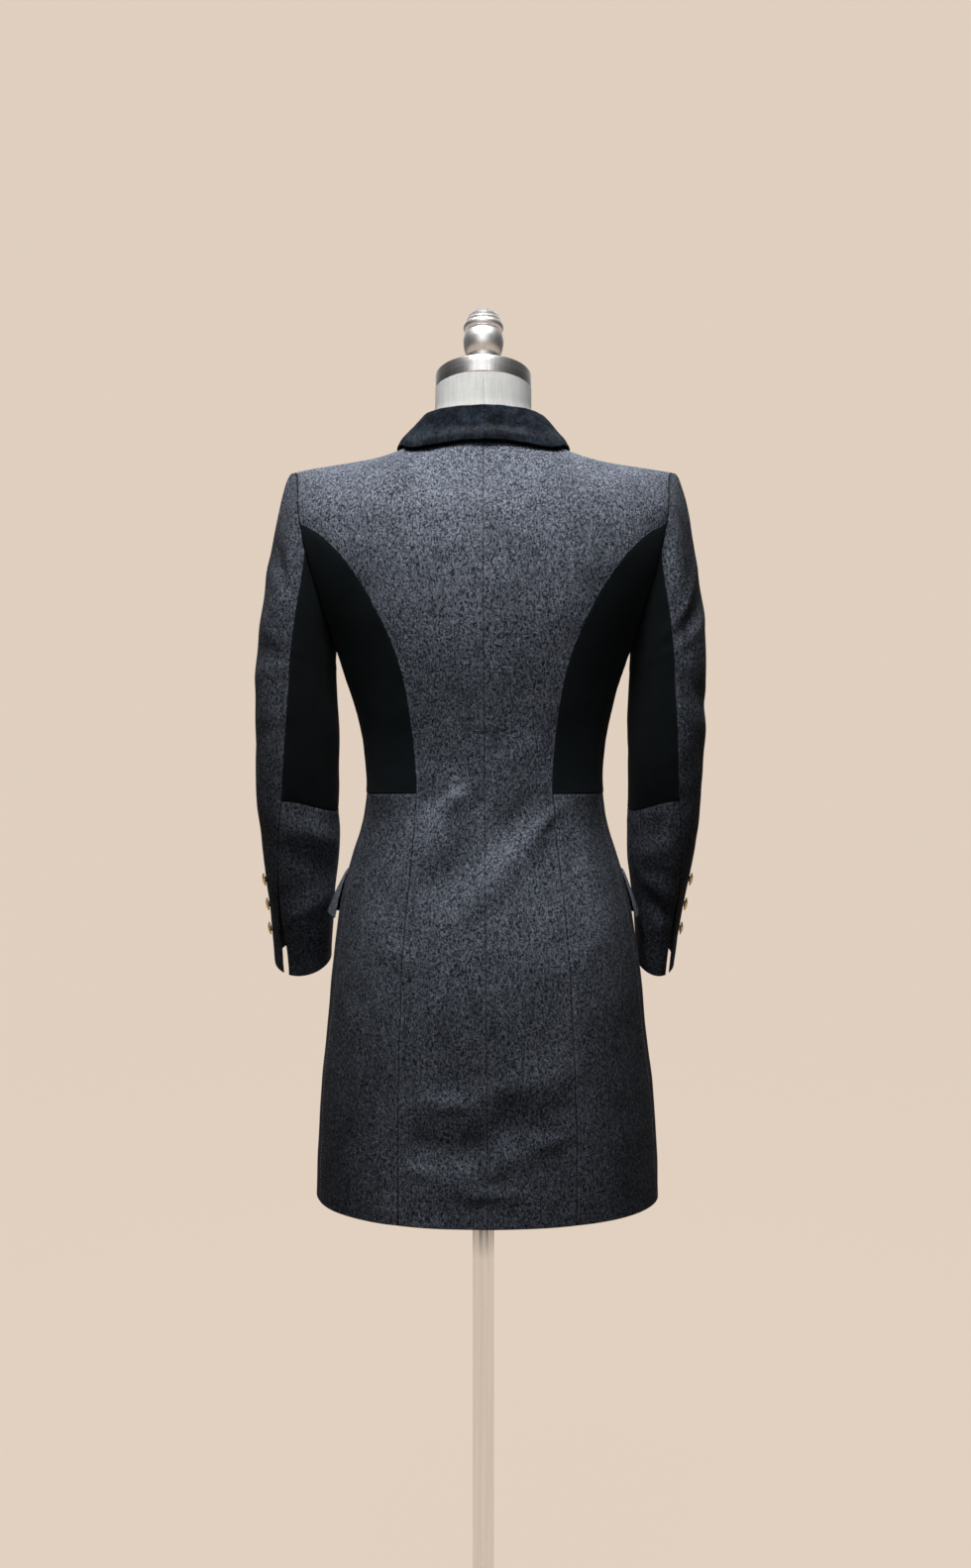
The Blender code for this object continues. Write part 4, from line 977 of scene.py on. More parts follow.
def make_linen(w):
    warp = w.noise(620.0, 3.0, (1.0, 1.0, 0.05), 0.6)
    weft = w.noise(900.0, 2.0, (0.10, 0.10, 1.0))
    weave = w.math("ADD", warp, w.math("ADD", w.times(weft, 0.35), 0.32))
    soil = w.mottle(30.0, (0.3, 0.7), (0.93, 1.04), 4.0, roughness=0.6)
    shade = w.scaled(colour("linen"), w.times(soil, w.span(weave, 0.75, 1.25, 0.84, 1.08)))
    w.finish((weave, 0.0003, 0.6), Base_Color=shade, Roughness=0.9, Specular_IOR_Level=0.25,
             Sheen_Weight=0.1)


def make_brass(w):
    scratch = w.noise(700.0, 3.0, roughness=0.6)
    tarnish = w.mottle(160.0, (0.35, 0.7), (1.0, 0.62), 3.0)
    w.finish((scratch, 0.00006, 0.5), Base_Color=w.scaled(colour("brass"), tarnish), Metallic=1.0,
             Roughness=w.span(scratch, 0.3, 0.7, 0.22, 0.42))


def make_steel(w, roughness=0.20, lines=1.0, share=1.0):
    """Turned steel: fine lines round the piece, which draw highlights out along its axis."""
    turning = w.noise(1.0, 3.0, (4.0, 1500.0, 1.0), 0.6, uv=True)
    streak = w.mottle(1.0, (0.3, 0.7), (0.86 * share, 1.10 * share), 3.0, (260.0, 8.0, 1.0), 0.6, uv=True)
    tangent = w.node("Tangent", direction_type="UV_MAP", uv_map="Cloth").outputs[0]
    rough = w.span(turning, 0.3, 0.7, roughness, roughness + 0.08)
    w.finish((turning, 0.00003 * lines, 0.5), Base_Color=w.scaled(colour("steel"), streak), Metallic=1.0,
             Roughness=rough, Anisotropic=0.65, Tangent=tangent)


def make_satin_steel(w):
    make_steel(w, 0.30, 2.0, 1.15)


def make_chrome(w):
    """Polished pole, with a painted dark reflection of the jacket's inside just below the hem; lower down it
    mirrors the pale room.
    """
    smear = w.noise(260.0, 3.0, (1.0, 1.0, 0.02))
    streaks = w.mottle(210.0, (0.42, 0.58), (0.0, 1.0), 1.0, (1.0, 1.0, 0.01))
    # Painted reflection of the jacket's dark inside, in streaks, just below the hem.
    height = w.node("SeparateXYZ", {0: w.place()}).outputs["Z"]
    dark = w.times(w.span(height, 0.524, 0.560), w.math("ADD", w.times(streaks, 0.6), 0.35))
    shade = w.math("MAXIMUM", w.math("SUBTRACT", w.span(smear, 0.35, 0.65, 0.92, 1.02), dark), 0.22)
    w.finish(Base_Color=w.scaled((0.93, 0.92, 0.91), shade), Metallic=1.0,
             Roughness=w.span(smear, 0.3, 0.7, 0.20, 0.30))


FINISHES = {
    "Washed denim": make_denim, "Black cloth": make_black, "Inside of the cloth": make_inside,
    "Collar cloth": make_collar_cloth, "Gold-toned metal": make_brass, "Grey thread": make_thread,
    "Seam thread": make_dark_thread, "Linen": make_linen, "Turned steel": make_steel,
    "Satin steel": make_satin_steel, "Chrome": make_chrome,
}
CLOTHS = {
    "denim": ("Washed denim", "Inside of the cloth"), "black_wool": ("Black cloth", "Inside of the cloth"),
    "collar_cloth": ("Collar cloth", "Collar cloth"),
}


def finish(name):
    """Material of a name, made when it is first asked for."""
    if name not in bpy.data.materials:
        FINISHES[name](Weave(name))
    return bpy.data.materials[name]


def cloth(slot):
    return [finish(name) for name in CLOTHS[slot]]


# Turned pieces


def ring_faces(rings, segments):
    """Quads between each ring of points and the next."""
    ring, step = np.arange(rings - 1)[:, None] * segments, np.arange(segments)
    after, above = np.roll(step, -1), ring + segments
    return np.stack((ring + step, ring + after, above + after, above + step), axis=-1).reshape(-1, 4)


def fan(start, segments, tip):
    """Triangles from a ring of points to one point."""
    step = np.arange(segments)
    return np.stack((start + step, start + np.roll(step, -1), np.full(segments, tip)), axis=-1)


def add_round(name, grid, tips, winding, finish_name, uv=None):
    """Closed round piece from rings of points and a tip at each end; winding is 1 where the rings run up."""
    rings, segments = grid.shape[:2]
    count = rings * segments
    quads = ring_faces(rings, segments)
    first, last = fan(0, segments, count), fan(count - segments, segments, count + 1)
    if winding > 0:
        first = first[:, (1, 0, 2)]
    else:
        quads, last = quads[:, (0, 3, 2, 1)], last[:, (1, 0, 2)]
    faces = quads.tolist() + first.tolist() + last.tolist()
    points = grid.reshape(-1, 3).tolist() + [list(tip) for tip in tips]
    item = add_mesh(name, points, faces, [finish(finish_name)], uv)
    item.data.set_sharp_from_angle(angle=math.radians(50.0))
    return item


def turned(name, profile, segments, place, finish_name):
    """Solid of revolution about Z from radius and height pairs, top to bottom."""
    profile = np.array(profile)
    radius, height = profile[1:-1, :1], profile[1:-1, 1:]
    turn = np.linspace(0.0, 2 * math.pi, segments, endpoint=False)
    grid = stack(radius * np.cos(turn), radius * np.sin(turn), height)
    tips = (0.0, 0.0, profile[0, 1]), (0.0, 0.0, profile[-1, 1])
    share = np.arange(segments + 1) / segments
    uv = np.stack(np.meshgrid(2 * math.pi * radius.max() * share, run_along(profile[1:-1])), axis=-1)
    uv = [np.stack((uv[:-1, :-1], uv[1:, :-1], uv[1:, 1:], uv[:-1, 1:]), axis=2).reshape(-1, 2)]
    across = np.stack((share[:-1], np.roll(share[:-1], -1), share[:-1]), axis=-1)
    for level in (0.0, 1.0):
        down = np.broadcast_to((level, level, level + 0.01), across.shape)
        uv.append(np.stack((across, down), axis=-1).reshape(-1, 2))
    item = add_round(name, grid, tips, -1, finish_name, np.concatenate(uv))
    item.data.transform(place)
    return item


# Stitches


def stitch_tree():
    """Node tree that lays a stitch at each pitch along rows, along them or across them."""
    found = bpy.data.node_groups.get("Stitch rows")
    if found:
        return found
    tree = bpy.data.node_groups.new("Stitch rows", "GeometryNodeTree")
    kinds = {"Rows": "Geometry", "Pitch": "Float", "Length": "Float", "Width": "Float", "Height": "Float",
             "Across": "Bool", "Finish": "Material"}
    for name, kind in kinds.items():
        tree.interface.new_socket(name, in_out="INPUT", socket_type="NodeSocket" + kind)
    tree.interface.new_socket("Stitches", in_out="OUTPUT", socket_type="NodeSocketGeometry")

    def node(kind, inputs=None, **settings):
        return add_node(tree, kind, inputs, **settings).outputs[0]

    given = add_node(tree, "NodeGroupInput").outputs
    curve = node("GeometryNodeMeshToCurve", {"Mesh": given["Rows"]})
    even = node("GeometryNodeResampleCurve", {"Curve": curve, "Length": given["Pitch"]}, mode="LENGTH")
    along = node("GeometryNodeInputTangent")
    out = node("GeometryNodeInputNamedAttribute", {"Name": "out"}, data_type="FLOAT_VECTOR")
    across = node("ShaderNodeVectorMath", {0: along, 1: out}, operation="CROSS_PRODUCT")
    pointing = node("GeometryNodeSwitch", {"Switch": given["Across"], "False": along, "True": across},
                    input_type="VECTOR")
    upright = node("FunctionNodeAlignRotationToVector", {"Vector": out}, axis="Z")
    rotation = node("FunctionNodeAlignRotationToVector", {"Rotation": upright, "Vector": pointing},
                    axis="X", pivot_axis="Z")
    bead = node("GeometryNodeMeshIcoSphere", {"Radius": 0.5, "Subdivisions": 2})
    size = node("ShaderNodeCombineXYZ", {"X": given["Length"], "Y": given["Width"], "Z": given["Height"]})
    laid = node("GeometryNodeInstanceOnPoints", {
        "Points": even, "Instance": bead, "Rotation": rotation, "Scale": size})
    real = node("GeometryNodeRealizeInstances", {"Geometry": laid})
    smooth = node("GeometryNodeSetShadeSmooth", {"Geometry": real})
    done = node("GeometryNodeSetMaterial", {"Geometry": smooth, "Material": given["Finish"]})
    add_node(tree, "NodeGroupOutput", {"Stitches": done})
    return tree


def stitches(name, rows, finish_name, pitch, length, width, across=False):
    """Stitches along rows of points and outward directions, as one plain mesh."""
    points, edges, outs = [], [], []
    for line, out in rows:
        edges += [(len(points) + step, len(points) + step + 1) for step in range(len(line) - 1)]
        points += line.tolist()
        outs += out.tolist()
    mesh = bpy.data.meshes.new(name + "_rows")
    mesh.from_pydata(points, edges, [])
    mesh.attributes.new("out", "FLOAT_VECTOR", "POINT").data.foreach_set("vector", np.array(outs).ravel())
    path = add_object(name + "_rows", mesh)
    modifier = path.modifiers.new("Stitch rows", "NODES")
    modifier.node_group = stitch_tree()
    given = {"Pitch": pitch, "Length": length, "Width": width, "Height": width * 0.75, "Across": across,
             "Finish": finish(finish_name)}
    for item in modifier.node_group.interface.items_tree:
        if item.item_type == "SOCKET" and item.in_out == "INPUT" and item.name in given:
            modifier[item.identifier] = given[item.name]
    depsgraph = bpy.context.evaluated_depsgraph_get()
    made = bpy.data.meshes.new_from_object(path.evaluated_get(depsgraph), depsgraph=depsgraph)
    made.name = name
    bpy.data.objects.remove(path, do_unlink=True)
    if not made.polygons:
        raise RuntimeError(f"{name} has no stitches")
    settle(add_object(name, made))


# Pieces


class JACKET_OT_back(bpy.types.Operator):
    """Two back panels, with the centre back seam between them"""

    bl_idname = "jacket.back"
    bl_label = "Back panels"

    def execute(self, context):
        edge_around, edge_height = long_edge()
        around = edge_around[:, None] * steps(0.165)[None, :]
        height = np.broadcast_to(edge_height[:, None], around.shape)
        body_pair("back", "denim", around, height, (0.6, 1, 0, 1))
        return {"FINISHED"}


class JACKET_OT_sides(bpy.types.Operator):
    """Black panels under the arms and the denim hip panels below them"""

    bl_idname = "jacket.sides"
    bl_label = "Side and hip panels"

    def execute(self, context):
        up, across = steps(0.250), steps(0.095)
        level, under_height = mix(WAIST, TIP, up), mix(WAIST, UNDERARM, up)
        under = (through(SIDE_SEAM, under_height), under_height)
        turns = mix(TIP_TURN, -90.0, across)
        skirt_level = mix(HEM, WAIST, steps(WAIST - HEM))
        seam = through(SIDE_SEAM, skirt_level)
        for word, top in (("back", armhole(turns)), ("front", armhole(180.0 - turns))):
            front = word == "front"
            around, height = patch((princess(level, front), level), under, top, across, up)
            hip_around = mix(princess(skirt_level, front)[:, None], seam[:, None], steps(0.115)[None, :])
            hip_height = np.broadcast_to(skirt_level[:, None], hip_around.shape)
            wear = even_wash(0.64, 0.05, 0.050, 36)
            for hand in SIDES:
                body_pair("side_" + word, "black_wool", around, height, (1, 1, 1, 2), hands=[hand], wear=wear)
                body_pair("skirt_" + word, "denim", hip_around, hip_height, (1, 1, 0, 1), hands=[hand])
        return {"FINISHED"}


class JACKET_OT_fronts(bpy.types.Operator):
    """Right front over left, with free front edges up to the lapels"""

    bl_idname = "jacket.fronts"
    bl_label = "Fronts"

    def execute(self, context):
        edge_around, edge_height = long_edge(front=True)
        low = edge_height < BREAK_HEIGHT - 0.005
        run = run_along(body(edge_around, edge_height))
        part = np.clip((run - run[~low][0]) / (run[-1] - run[~low][0]), 0.0, 1.0)
        rolled = roll_line(part)
        open_around = np.where(low, past_centre(FRONT_OVERLAP, edge_height), rolled[0])
        open_height = np.where(low, edge_height, rolled[1])
        share = steps(0.185)[None, :]
        around = mix(edge_around[:, None], open_around[:, None], share)
        height = mix(edge_height[:, None], open_height[:, None], share)
        body_pair("front", "denim", around, height, (1, 0, 0, 1),
                  lift=lambda side: -underlap(around, height, side))
        return {"FINISHED"}


def gorge(share):
    start = roll_line(LAPEL_TOP)
    return start[0] - LAPEL_WIDTH * share, start[1] - 0.012 * share + 0.032 * share ** 3


def lapel_places(up, share):
    """Places of the lapel, for shares of its length and its width from the roll line."""
    start = roll_line(mix(0.03, LAPEL_TOP, up))
    width = mix(0.012, LAPEL_WIDTH, ease(up) ** 0.9)
    rise = (gorge(share)[1] - roll_line(LAPEL_TOP)[1]) * up ** 4
    roll = LAPEL_ROLL * bell(share * width / 0.035) * ease(up * 4.0)
    return start[0] - width * share, start[1] + rise, WALL + LAPEL_GAP + roll


class JACKET_OT_lapels(bpy.types.Operator):
    """Peaked lapels, turned over in a soft roll at the front's edge"""

    bl_idname = "jacket.lapels"
    bl_label = "Lapels"

    def execute(self, context):
        up, share = steps(0.270, 0.004)[:, None], 1.0 - steps(0.110, 0.004)[None, :-1]
        around, height, lift = lapel_places(up, share)
        edge_around, edge_height, edge_lift = (grid[:, 0] for grid in lapel_places(up, np.zeros((1, 1))))
        point, out = face(around, height)
        edge_point, edge_out = face(edge_around, edge_height)
        beyond = unit(np.cross(unit(np.gradient(edge_point, axis=0)), edge_out))
        radius = (edge_lift + WALL) / 2 * mix(0.5, 1.0, ease(up[:, 0] * 5.0))
        for side, word in SIDES:
            relief = 0.5 * body_relief(on_body(side)(point), around, height)
            flat = point + out * (lift - underlap(around, height, side) + relief)[..., None]
            middle = len(beyond) // 2
            if np.sum(beyond[middle] * (flat[middle, -1] - flat[middle, 0])) < 0:
                beyond = -beyond
            drop = underlap(edge_around, edge_height, side)
            centre = edge_point + edge_out * (edge_lift - drop - radius)[:, None]
            turn = np.radians(np.linspace(8.0, 165.0, 8))[None, :, None]
            rolled = edge_out[:, None] * np.cos(turn) + beyond[:, None] * np.sin(turn)
            base = np.concatenate((flat, centre[:, None] + rolled * radius[:, None, None]), axis=1)
            direction = np.concatenate((out, rolled), axis=1)
            shell("lapel_" + word, "collar_cloth", base, direction, np.zeros(base.shape[:2]), (0, 0, 0, 0),
                  on_body(side), (True, False, False, True), LAPEL_WALL, even_wash(0.25, 0.15, 0.040, 44))
        return {"FINISHED"}


def collar_rails(part):
    """Neck seam, fold and outer edge of the collar; part is 0 at the nape and 1 at the gorge."""
    if part <= COLLAR_SIDE:
        share = part / COLLAR_SIDE
        angle = share * math.pi / 2
        seam = body(NECK_PART * share, SHOULDER) + np.array((0.0, 0.0, NECK_SEAM_GAP))
        fold = np.array((COLLAR_HALF_WIDTH * math.sin(angle), COLLAR_BACK * math.cos(angle), COLLAR_TOP))
        place = through(COLLAR_EDGE, share)
    else:
        share = (part - COLLAR_SIDE) / (1.0 - COLLAR_SIDE)
        beside = roll_line(mix(1.0, LAPEL_TOP + 0.012, share))
        seam = body(beside[0] + 0.014 * ease(share * 3.0), beside[1])
        seam = seam + np.array((0.0, 0.0, NECK_SEAM_GAP * (1.0 - share)))
        rolled = body(*beside) + body_normal(*beside) * mix(0.012, 0.0065, share)
        fold = mix(np.array((COLLAR_HALF_WIDTH, 0.0, COLLAR_TOP)), rolled, ease(share) * 0.5 + share * 0.5)
        _, reach, edge_height = COLLAR_EDGE[-1]
        end = gorge(COLLAR_END_SHARE)
        place = (mix(2.0 - reach, end[0], share), mix(edge_height, end[1] + COLLAR_END_RISE, share))
    lift = COLLAR_LIFT - COLLAR_SETTLE * ease(part / COLLAR_SIDE)
    return seam, fold, body(*place) + body_normal(*place) * lift


class JACKET_OT_collar(bpy.types.Operator):
    """Stand and fall of the collar, turned over at the fold"""

    bl_idname = "jacket.collar"
    bl_label = "Collar"

    def execute(self, context):
        half, shares = steps(0.250, 0.0035), steps(0.100, 0.0030)
        parts = np.concatenate((-half[:0:-1], half))
        rows = []
        for part in parts:
            seam, fold, edge = collar_rails(abs(part))
            apex = (fold - (seam + edge) / 8) / 0.75
            spread = unit(edge - seam) * COLLAR_SPREAD
            line = bezier(seam, apex - spread, apex + spread, edge, shares[:, None])
            rows.append(line * np.array((-1.0 if part < 0 else 1.0, 1.0, 1.0)))
        base = np.array(rows)
        out = unit(np.cross(np.gradient(base, axis=1), np.gradient(base, axis=0)))
        if out[len(half), -1, 1] < 0:
            out = -out
        base = base + out * (WALL / 2)
        relief = 0.0005 * waves(base, 0.040, 41) + 0.00025 * waves(base, 0.018, 42)
        relief = relief + 0.0011 * bell((shares[None, :] - 0.93) / 0.055)
        # Painted highlight along the collar's rolled lower edge, strongest at the centre back, with small
        # random tone; it goes in as the collar's wash.
        reach = bell(parts[:, None] / 0.30) + 0.35
        nap = reach * bell((shares[None, :] - 0.922) / 0.040) + 0.12 * waves(base, 0.030, 43)
        shell("collar", "collar_cloth", base, out, relief, (0, 0, 0, 0), lambda point: point.copy(),
              (False, True, True, True), COLLAR_WALL, lambda point: nap)
        return {"FINISHED"}


class JACKET_OT_sleeves(bpy.types.Operator):
    """Two-piece sleeves with a black under sleeve, a denim forearm and an open cuff vent"""

    bl_idname = "jacket.sleeves"
    bl_label = "Sleeves"

    def execute(self, context):
        for side, word in SIDES:
            self.sew("upper_" + word, "denim", CUFF, SHOULDER, lambda height: fore(height) - 360.0, hind,
                     side, (1, 1, 0, 2))
            self.sew("under_" + word, "black_wool", ELBOW, SHOULDER, hind, fore, side, (1, 1, 1, 2))
            self.sew("forearm_" + word, "denim", CUFF, ELBOW, vent_edge, fore, side, (1, 1, 0, 1))
        return {"FINISHED"}

    def sew(self, piece, slot, low, high, start, end, side, seams):
        height = mix(low, high, steps(high - low, SLEEVE_CELL))
        angle = mix(start(height)[:, None], end(height)[:, None], steps(0.150)[None, :])
        level = elbow_slope(angle, np.broadcast_to(height[:, None], angle.shape))
        point, out = sleeve(angle, level), sleeve_normal(angle, level)
        relief = sleeve_relief(hang(point, side), angle, level, side)
        shell("sleeve_" + piece, slot, point, out, relief, seams, lambda grid: hang(grid, side),
              wear=lambda placed: sleeve_wash_and_painted_light(placed, angle, level, side))


def flap_places(side, down, share):
    """Places of a pocket flap and how far it stands off."""
    bow = FLAP_BOW[side] * bell((share - 0.20) / FLAP_BOW_REACH)
    height = FLAP_TOP - FLAP_DEPTH * down + 0.012 * share
    return mix(0.90, 1.47, share) + 0.03 * down, height, WALL + 0.0006 + down * (0.0022 + bow)


class JACKET_OT_flaps(bpy.types.Operator):
    """Hip pocket flaps, sewn at the top and standing off at the lower rear corner"""

    bl_idname = "jacket.flaps"
    bl_label = "Pocket flaps"

    def execute(self, context):
        down, share = steps(FLAP_DEPTH, 0.0035)[::-1, None], steps(0.135, 0.0035)[None, :]
        around, height, _ = flap_places(1, down, share)
        # An even tone, lighter than the skirt beside them: painted light on the flaps, which turn away from
        # the lamps.
        body_pair("flap", "denim", around, height, (0, 0, 0, 0),
                  lift=lambda side: flap_places(side, down, share)[2], wall=FLAP_WALL,
                  wear=even_wash(1.05, 0.05, 0.030, 33), finishes=[finish("Washed denim")] * 2)
        return {"FINISHED"}


class JACKET_OT_buttons(bpy.types.Operator):
    """Six front buttons and three at each cuff"""

    bl_idname = "jacket.buttons"
    bl_label = "Buttons"

    def execute(self, context):
        for side, word in SIDES:
            for row, height in enumerate(np.array(FRONT_BUTTON_HEIGHTS)):
                around = around_at(FRONT_BUTTON_OUT, height, front=True)
                point, normal = face(around, height)
                relief = body_relief(on_body(side)(point), around, height)
                self.sew(f"button_{row + 1}_{word}", FRONT_BUTTON, on_body(side), point, normal, relief, side)
            for row, height in enumerate(np.array(CUFF_BUTTON_HEIGHTS)):
                angle, hung = np.asarray(CUFF_BUTTON_ANGLE), lambda at: hang(at, side)
                point, normal = sleeve(angle, height), sleeve_normal(angle, height)
                relief = sleeve_relief(hung(point), angle, height, side)
                self.sew(f"cuff_button_{row + 1}_{word}", CUFF_BUTTON, hung, point, normal, relief, side)
        return {"FINISHED"}

    def sew(self, node, size, hung, point, normal, relief, side):
        turn = Vector((side * normal[0], *normal[1:])).to_track_quat("Z", "Y").to_matrix().to_4x4()
        place = Matrix.Translation(hung(point + normal * (relief + 0.0002))) @ turn
        item = turned("metal_" + node, BUTTON_PROFILE * size, 40, place, "Gold-toned metal")
        settle(item, node)


class JACKET_OT_stitching(bpy.types.Operator):
    """Topstitching and buttonholes"""

    bl_idname = "jacket.stitching"
    bl_label = "Stitching"

    def execute(self, context):
        size = sizes()
        rows = []
        for side, _ in SIDES:
            level = np.linspace(HEM + 0.004, WAIST - 0.004, 120)
            rows.append(self.row(side, through(SIDE_SEAM, level) - 0.016, level))
            ends, bottom = (FLAP_STITCH_IN, 1.0 - FLAP_STITCH_IN), 0.90
            rows.append(self.row(side, *flap_places(side, np.full(60, bottom), np.linspace(*ends, 60))))
            for end in ends:
                down = np.linspace(0.06, bottom, 24)
                rows.append(self.row(side, *flap_places(side, down, np.full(24, end))))
        level = np.linspace(HEM + 0.004, BREAK_HEIGHT - 0.01, 140)
        rows.append(self.row(-1, past_centre(FRONT_OVERLAP - 0.006, level), level))
        stitches("topstitching", rows, "Grey thread", size.stitch_pitch, size.stitch_length,
                 size.stitch_width)
        holes = [self.buttonhole(height) for height in FRONT_BUTTON_HEIGHTS]
        stitches("buttonholes", holes, "Grey thread", 0.0009, 0.0026, 0.0008, across=True)
        return {"FINISHED"}

    def row(self, side, around, height, lift=0.0):
        point, out = face(around, height)
        relief = body_relief(on_body(side)(point), around, height)
        line = on_body(side)(point + out * (relief + lift + 0.0001)[..., None])
        return line, out * np.array((side, 1.0, 1.0))

    def buttonhole(self, height):
        """Loop round a slot that runs from the button towards the centre front."""
        turn = np.linspace(0.0, 2 * math.pi, 60)
        centre, half = FRONT_BUTTON_OUT - 0.0115, 0.0125
        across = centre + half * np.sign(np.cos(turn)) * np.abs(np.cos(turn)) ** 0.35
        level = height + 0.0012 * np.sign(np.sin(turn)) * np.abs(np.sin(turn)) ** 0.8
        around = np.array([past_centre(x, z) for x, z in zip(across, level)])
        return self.row(-1, around, level)


class JACKET_OT_form(bpy.types.Operator):
    """Linen-covered torso with a slanted neck"""

    bl_idname = "jacket.form"
    bl_label = "Dress form"

    def execute(self, context):
        segments = 144
        levels = np.linspace(FORM_RINGS[0, 0], FORM_RINGS[-1, 0], 190)[:, None]
        turn = np.linspace(0.0, 2 * math.pi, segments, endpoint=False)[None, :]
        half_width, back, front = through(FORM_RINGS, levels)
        power = mix(0.90, 1.0, ease((levels - 1.335) / 0.05))
        across, along = (np.copysign(np.abs(wave) ** power, wave) for wave in (np.cos(turn), np.sin(turn)))
        seam = np.minimum(np.abs(turn - math.pi / 2), np.abs(turn - 3 * math.pi / 2)) * half_width
        groove = 1.0 - 0.010 * bell(seam / 0.0012)
        grid = stack(half_width * across * groove, np.where(along > 0, back, front) * along * groove, levels)
        under_cap = CAP_CENTRE[2] - CAP_THICKNESS / 2 - 0.0004
        slant = np.repeat(grid[-1:], 10, axis=0)
        target = under_cap + (slant[..., 1] - CAP_CENTRE[1]) * math.tan(NECK_TILT)
        slant[..., 2] = mix(slant[..., 2], target, np.linspace(0.1, 1.0, 10)[:, None])
        grid = np.concatenate((grid, slant))
        tips = grid[0].mean(axis=0), grid[-1].mean(axis=0)
        settle(add_round("linen_form", grid, tips, 1, "Linen"), "form_torso")
        line = grid[-48:-3, segments // 4] + np.array((0.0, 0.0002, 0.0))
        out = np.broadcast_to(np.array((0.0, 1.0, 0.0)), line.shape)
        stitches("neck_seam", [(line, out)], "Seam thread", 0.0026, 0.0017, 0.0006)
        return {"FINISHED"}


class JACKET_OT_stand(bpy.types.Operator):
    """Neck cap, finial, pole and round base"""

    bl_idname = "jacket.stand"
    bl_label = "Cap, finial and stand"

    def execute(self, context):
        place = Matrix.Translation(CAP_CENTRE) @ Matrix.Rotation(NECK_TILT, 4, "X")
        half, bevel = CAP_THICKNESS / 2, 0.0012
        rounded = [(CAP_RADIUS - bevel * (1 - math.sin(a)), half - bevel * (1 - math.cos(a)))
                   for a in np.radians(np.linspace(0.0, 90.0, 5))]
        cap = [(0.0, half), (0.030, half), (0.046, half)] + rounded
        cap += [(radius, -height) for radius, height in reversed(rounded)] + [(0.0, -half)]
        seat = place @ Matrix.Translation((0.0, 0.0, half + REST_GAP))
        top, hub, rim = BASE_THICKNESS, BASE_THICKNESS + HUB_HEIGHT, BASE_RADIUS
        base = (
            (0.0, hub), (0.0165, hub), (0.0180, hub - 0.0004), (0.0215, hub - 0.0045), (0.0222, hub - 0.007),
            (0.0240, top + 0.010), (0.0275, top + 0.004), (0.0340, top + 0.0008), (0.0420, top), (0.100, top),
            (rim - 0.004, top), (rim - 0.0012, top - 0.0012), (rim, top - 0.004), (rim, 0.001),
            (rim - 0.001, 0.0), (0.0, 0.0),
        )
        for name, profile, segments, at, metal, node in (
                ("steel_cap", cap, 128, place, "Turned steel", "neck_cap"),
                ("steel_finial", FINIAL_PROFILE, 96, seat, "Satin steel", "finial"),
                ("steel_base", base, 160, Matrix.Identity(4), "Turned steel", "base")):
            settle(turned(name, profile, segments, at, metal), node)
        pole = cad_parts["pole"]
        pole.data.materials.clear()
        pole.data.materials.append(finish("Chrome"))
        return {"FINISHED"}


def area_light(name, place, target_height, width, height, power, shade, glossy=True):
    data = bpy.data.lights.new(name, "AREA")
    data.shape, data.size, data.size_y, data.energy, data.color = "RECTANGLE", width, height, power, shade
    item = add_object(name, data)
    item.location = place
    aim = Vector((0.0, 0.0, target_height)) - Vector(place)
    item.rotation_euler = aim.to_track_quat("-Z", "Y").to_euler()
    item.visible_camera = False
    item.visible_glossy = glossy


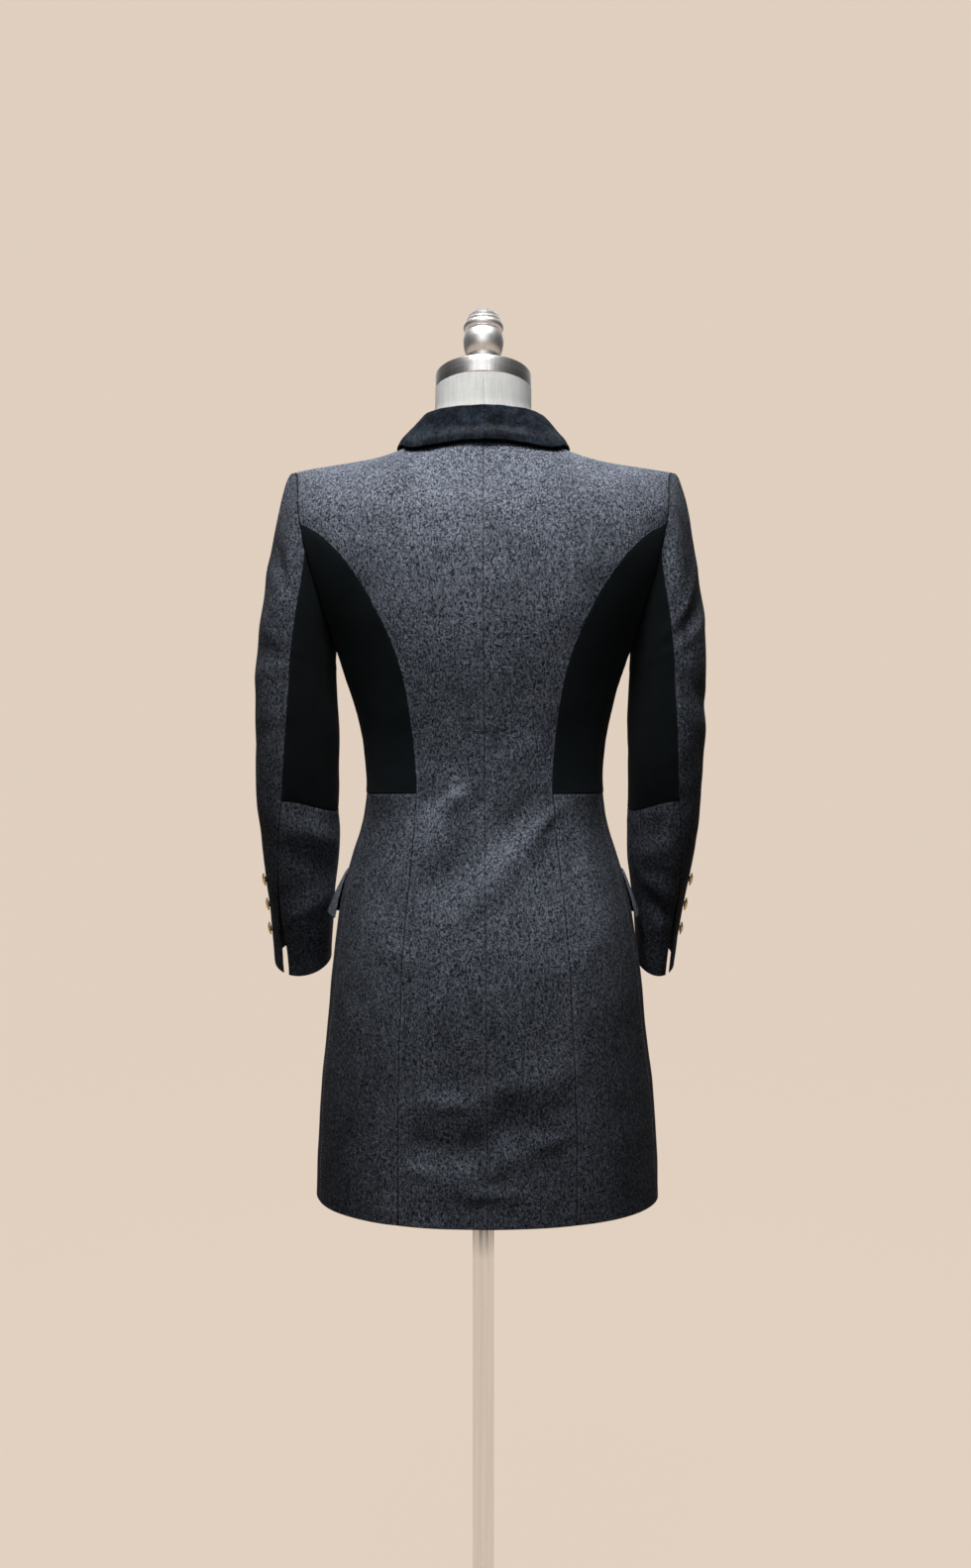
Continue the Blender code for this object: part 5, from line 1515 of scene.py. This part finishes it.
class JACKET_OT_stage(bpy.types.Operator):
    """Pale studio, soft lights and the camera"""

    bl_idname = "jacket.stage"
    bl_label = "Studio"

    def execute(self, context):
        floor, cove, dome, segments = STUDIO_FLOOR, STUDIO_COVE, STUDIO_FLOOR + STUDIO_COVE, 96
        curve, rise = np.radians(np.linspace(4, 90, 20)), np.radians(np.linspace(3, 89.5, 30))
        profile = [(radius, 0.0) for radius in np.linspace(0.05, floor, 24)]
        profile += [(floor + cove * math.sin(a), cove - cove * math.cos(a)) for a in curve]
        profile += [(dome * math.cos(a), cove + dome * math.sin(a)) for a in rise]
        radius, height = np.array(profile).T[..., None]
        turn = np.linspace(0.0, 2 * math.pi, segments, endpoint=False)
        points = stack(radius * np.cos(turn), radius * np.sin(turn), height).reshape(-1, 3)
        faces = ring_faces(len(profile), segments)[:, ::-1].tolist() + [list(range(segments))]
        studio = add_mesh("studio", points.tolist(), faces, [self.paper()])
        studio.visible_diffuse = studio.visible_glossy = False
        studio.visible_shadow = studio.visible_transmission = False
        warm, cool = (1.0, 0.99, 0.98), (0.97, 0.99, 1.0)
        area_light("overhead", (0.12, 0.70, 2.60), 1.10, 0.70, 0.50, 42.0, warm)
        area_light("softbox", (0.20, 1.75, 2.20), 1.05, 1.60, 0.90, 4.5, cool)
        area_light("front_light", (-0.30, -0.95, 2.60), 1.05, 1.00, 0.70, 42.0, warm, glossy=False)
        area_light("front_soft", (0.30, -2.20, 1.80), 1.05, 1.00, 0.70, 12.0, warm, glossy=False)
        self.surroundings()
        data = bpy.data.cameras.new("camera")
        data.lens, data.sensor_width = 30.0, 36.0
        data.clip_start, data.clip_end = 0.05, 50.0
        camera = add_object("camera", data)
        camera.location = (-0.0023, 1.40, 1.03)
        camera.rotation_euler = (math.radians(90.0), 0.0, math.radians(180.0))
        context.scene.camera = camera
        context.scene.view_settings.view_transform = "Standard"
        return {"FINISHED"}

    def paper(self):
        w = Weave("Studio paper")
        w.tree.nodes.remove(w.tree.nodes["Principled BSDF"])
        shade = (*colour("backdrop"), 1.0)
        glow = w.node("Emission", {"Color": shade, "Strength": 1.01}).outputs[0]
        matt = w.node("BsdfDiffuse", {"Color": shade}).outputs[0]
        both = w.node("MixShader", {0: 0.02, 1: glow, 2: matt}).outputs[0]
        w.tree.links.new(both, w.tree.nodes["Material Output"].inputs["Surface"])
        return w.material

    def surroundings(self):
        """Room that the metal reflects and the cloth doesn't: bright behind the viewer, dark at the sides."""
        world = bpy.data.worlds.new("room")
        world.use_nodes = True
        bpy.context.scene.world = world
        tree = world.node_tree
        source = add_node(tree, "ShaderNodeTexCoord").outputs["Generated"]
        split = add_node(tree, "ShaderNodeSeparateXYZ", {0: source}).outputs
        sideways = add_node(tree, "ShaderNodeMath", {0: split["X"]}, operation="ABSOLUTE").outputs[0]
        ramp = add_node(tree, "ShaderNodeValToRGB", {0: sideways})
        stops = ramp.color_ramp.elements
        for position, grey in ((0.12, 1.00), (0.40, 0.48), (0.72, 0.14)):
            stops.new(position).color = (grey, grey * 0.985, grey * 0.97, 1.0)
        stops[0].color, stops[-1].color = (1.0, 0.985, 0.97, 1.0), (0.03, 0.03, 0.03, 1.0)
        below = add_node(tree, "ShaderNodeMapRange", {
            "Value": split["Z"], "From Min": 0.02, "From Max": -0.06}).outputs[0]
        room = add_node(tree, "ShaderNodeMix", {
            0: below, 6: ramp.outputs[0], 7: (0.76, 0.63, 0.52, 1.0)}, data_type="RGBA").outputs[2]
        fill(tree, tree.nodes["Background"], {"Color": room, "Strength": 0.9})
        world.cycles_visibility.diffuse = False


OPERATORS = (
    JACKET_OT_back, JACKET_OT_sides, JACKET_OT_fronts, JACKET_OT_lapels, JACKET_OT_collar, JACKET_OT_sleeves,
    JACKET_OT_flaps, JACKET_OT_buttons, JACKET_OT_stitching, JACKET_OT_form, JACKET_OT_stand, JACKET_OT_stage,
)


class JACKET_PT_panel(bpy.types.Panel):
    """The jacket's sizes, colours and pieces"""

    bl_label = "Jacket"
    bl_idname = "JACKET_PT_panel"
    bl_space_type = "VIEW_3D"
    bl_region_type = "UI"
    bl_category = "Jacket"

    def draw(self, context):
        for group in (context.scene.jacket_sizes, context.scene.jacket_colours):
            box = self.layout.box()
            for name in group.__annotations__:
                box.prop(group, name)
        for operator in OPERATORS:
            self.layout.operator(operator.bl_idname)


CLASSES = (JacketSizes, JacketColours, *OPERATORS, JACKET_PT_panel)


def register():
    for item in CLASSES:
        bpy.utils.register_class(item)
    bpy.types.Scene.jacket_sizes = PointerProperty(type=JacketSizes)
    bpy.types.Scene.jacket_colours = PointerProperty(type=JacketColours)


def unregister():
    del bpy.types.Scene.jacket_colours
    del bpy.types.Scene.jacket_sizes
    for item in reversed(CLASSES):
        bpy.utils.unregister_class(item)


def main():
    register()
    for operator in OPERATORS:
        group, name = operator.bl_idname.split(".")
        getattr(getattr(bpy.ops, group), name)()


if __name__ == "__main__":
    main()
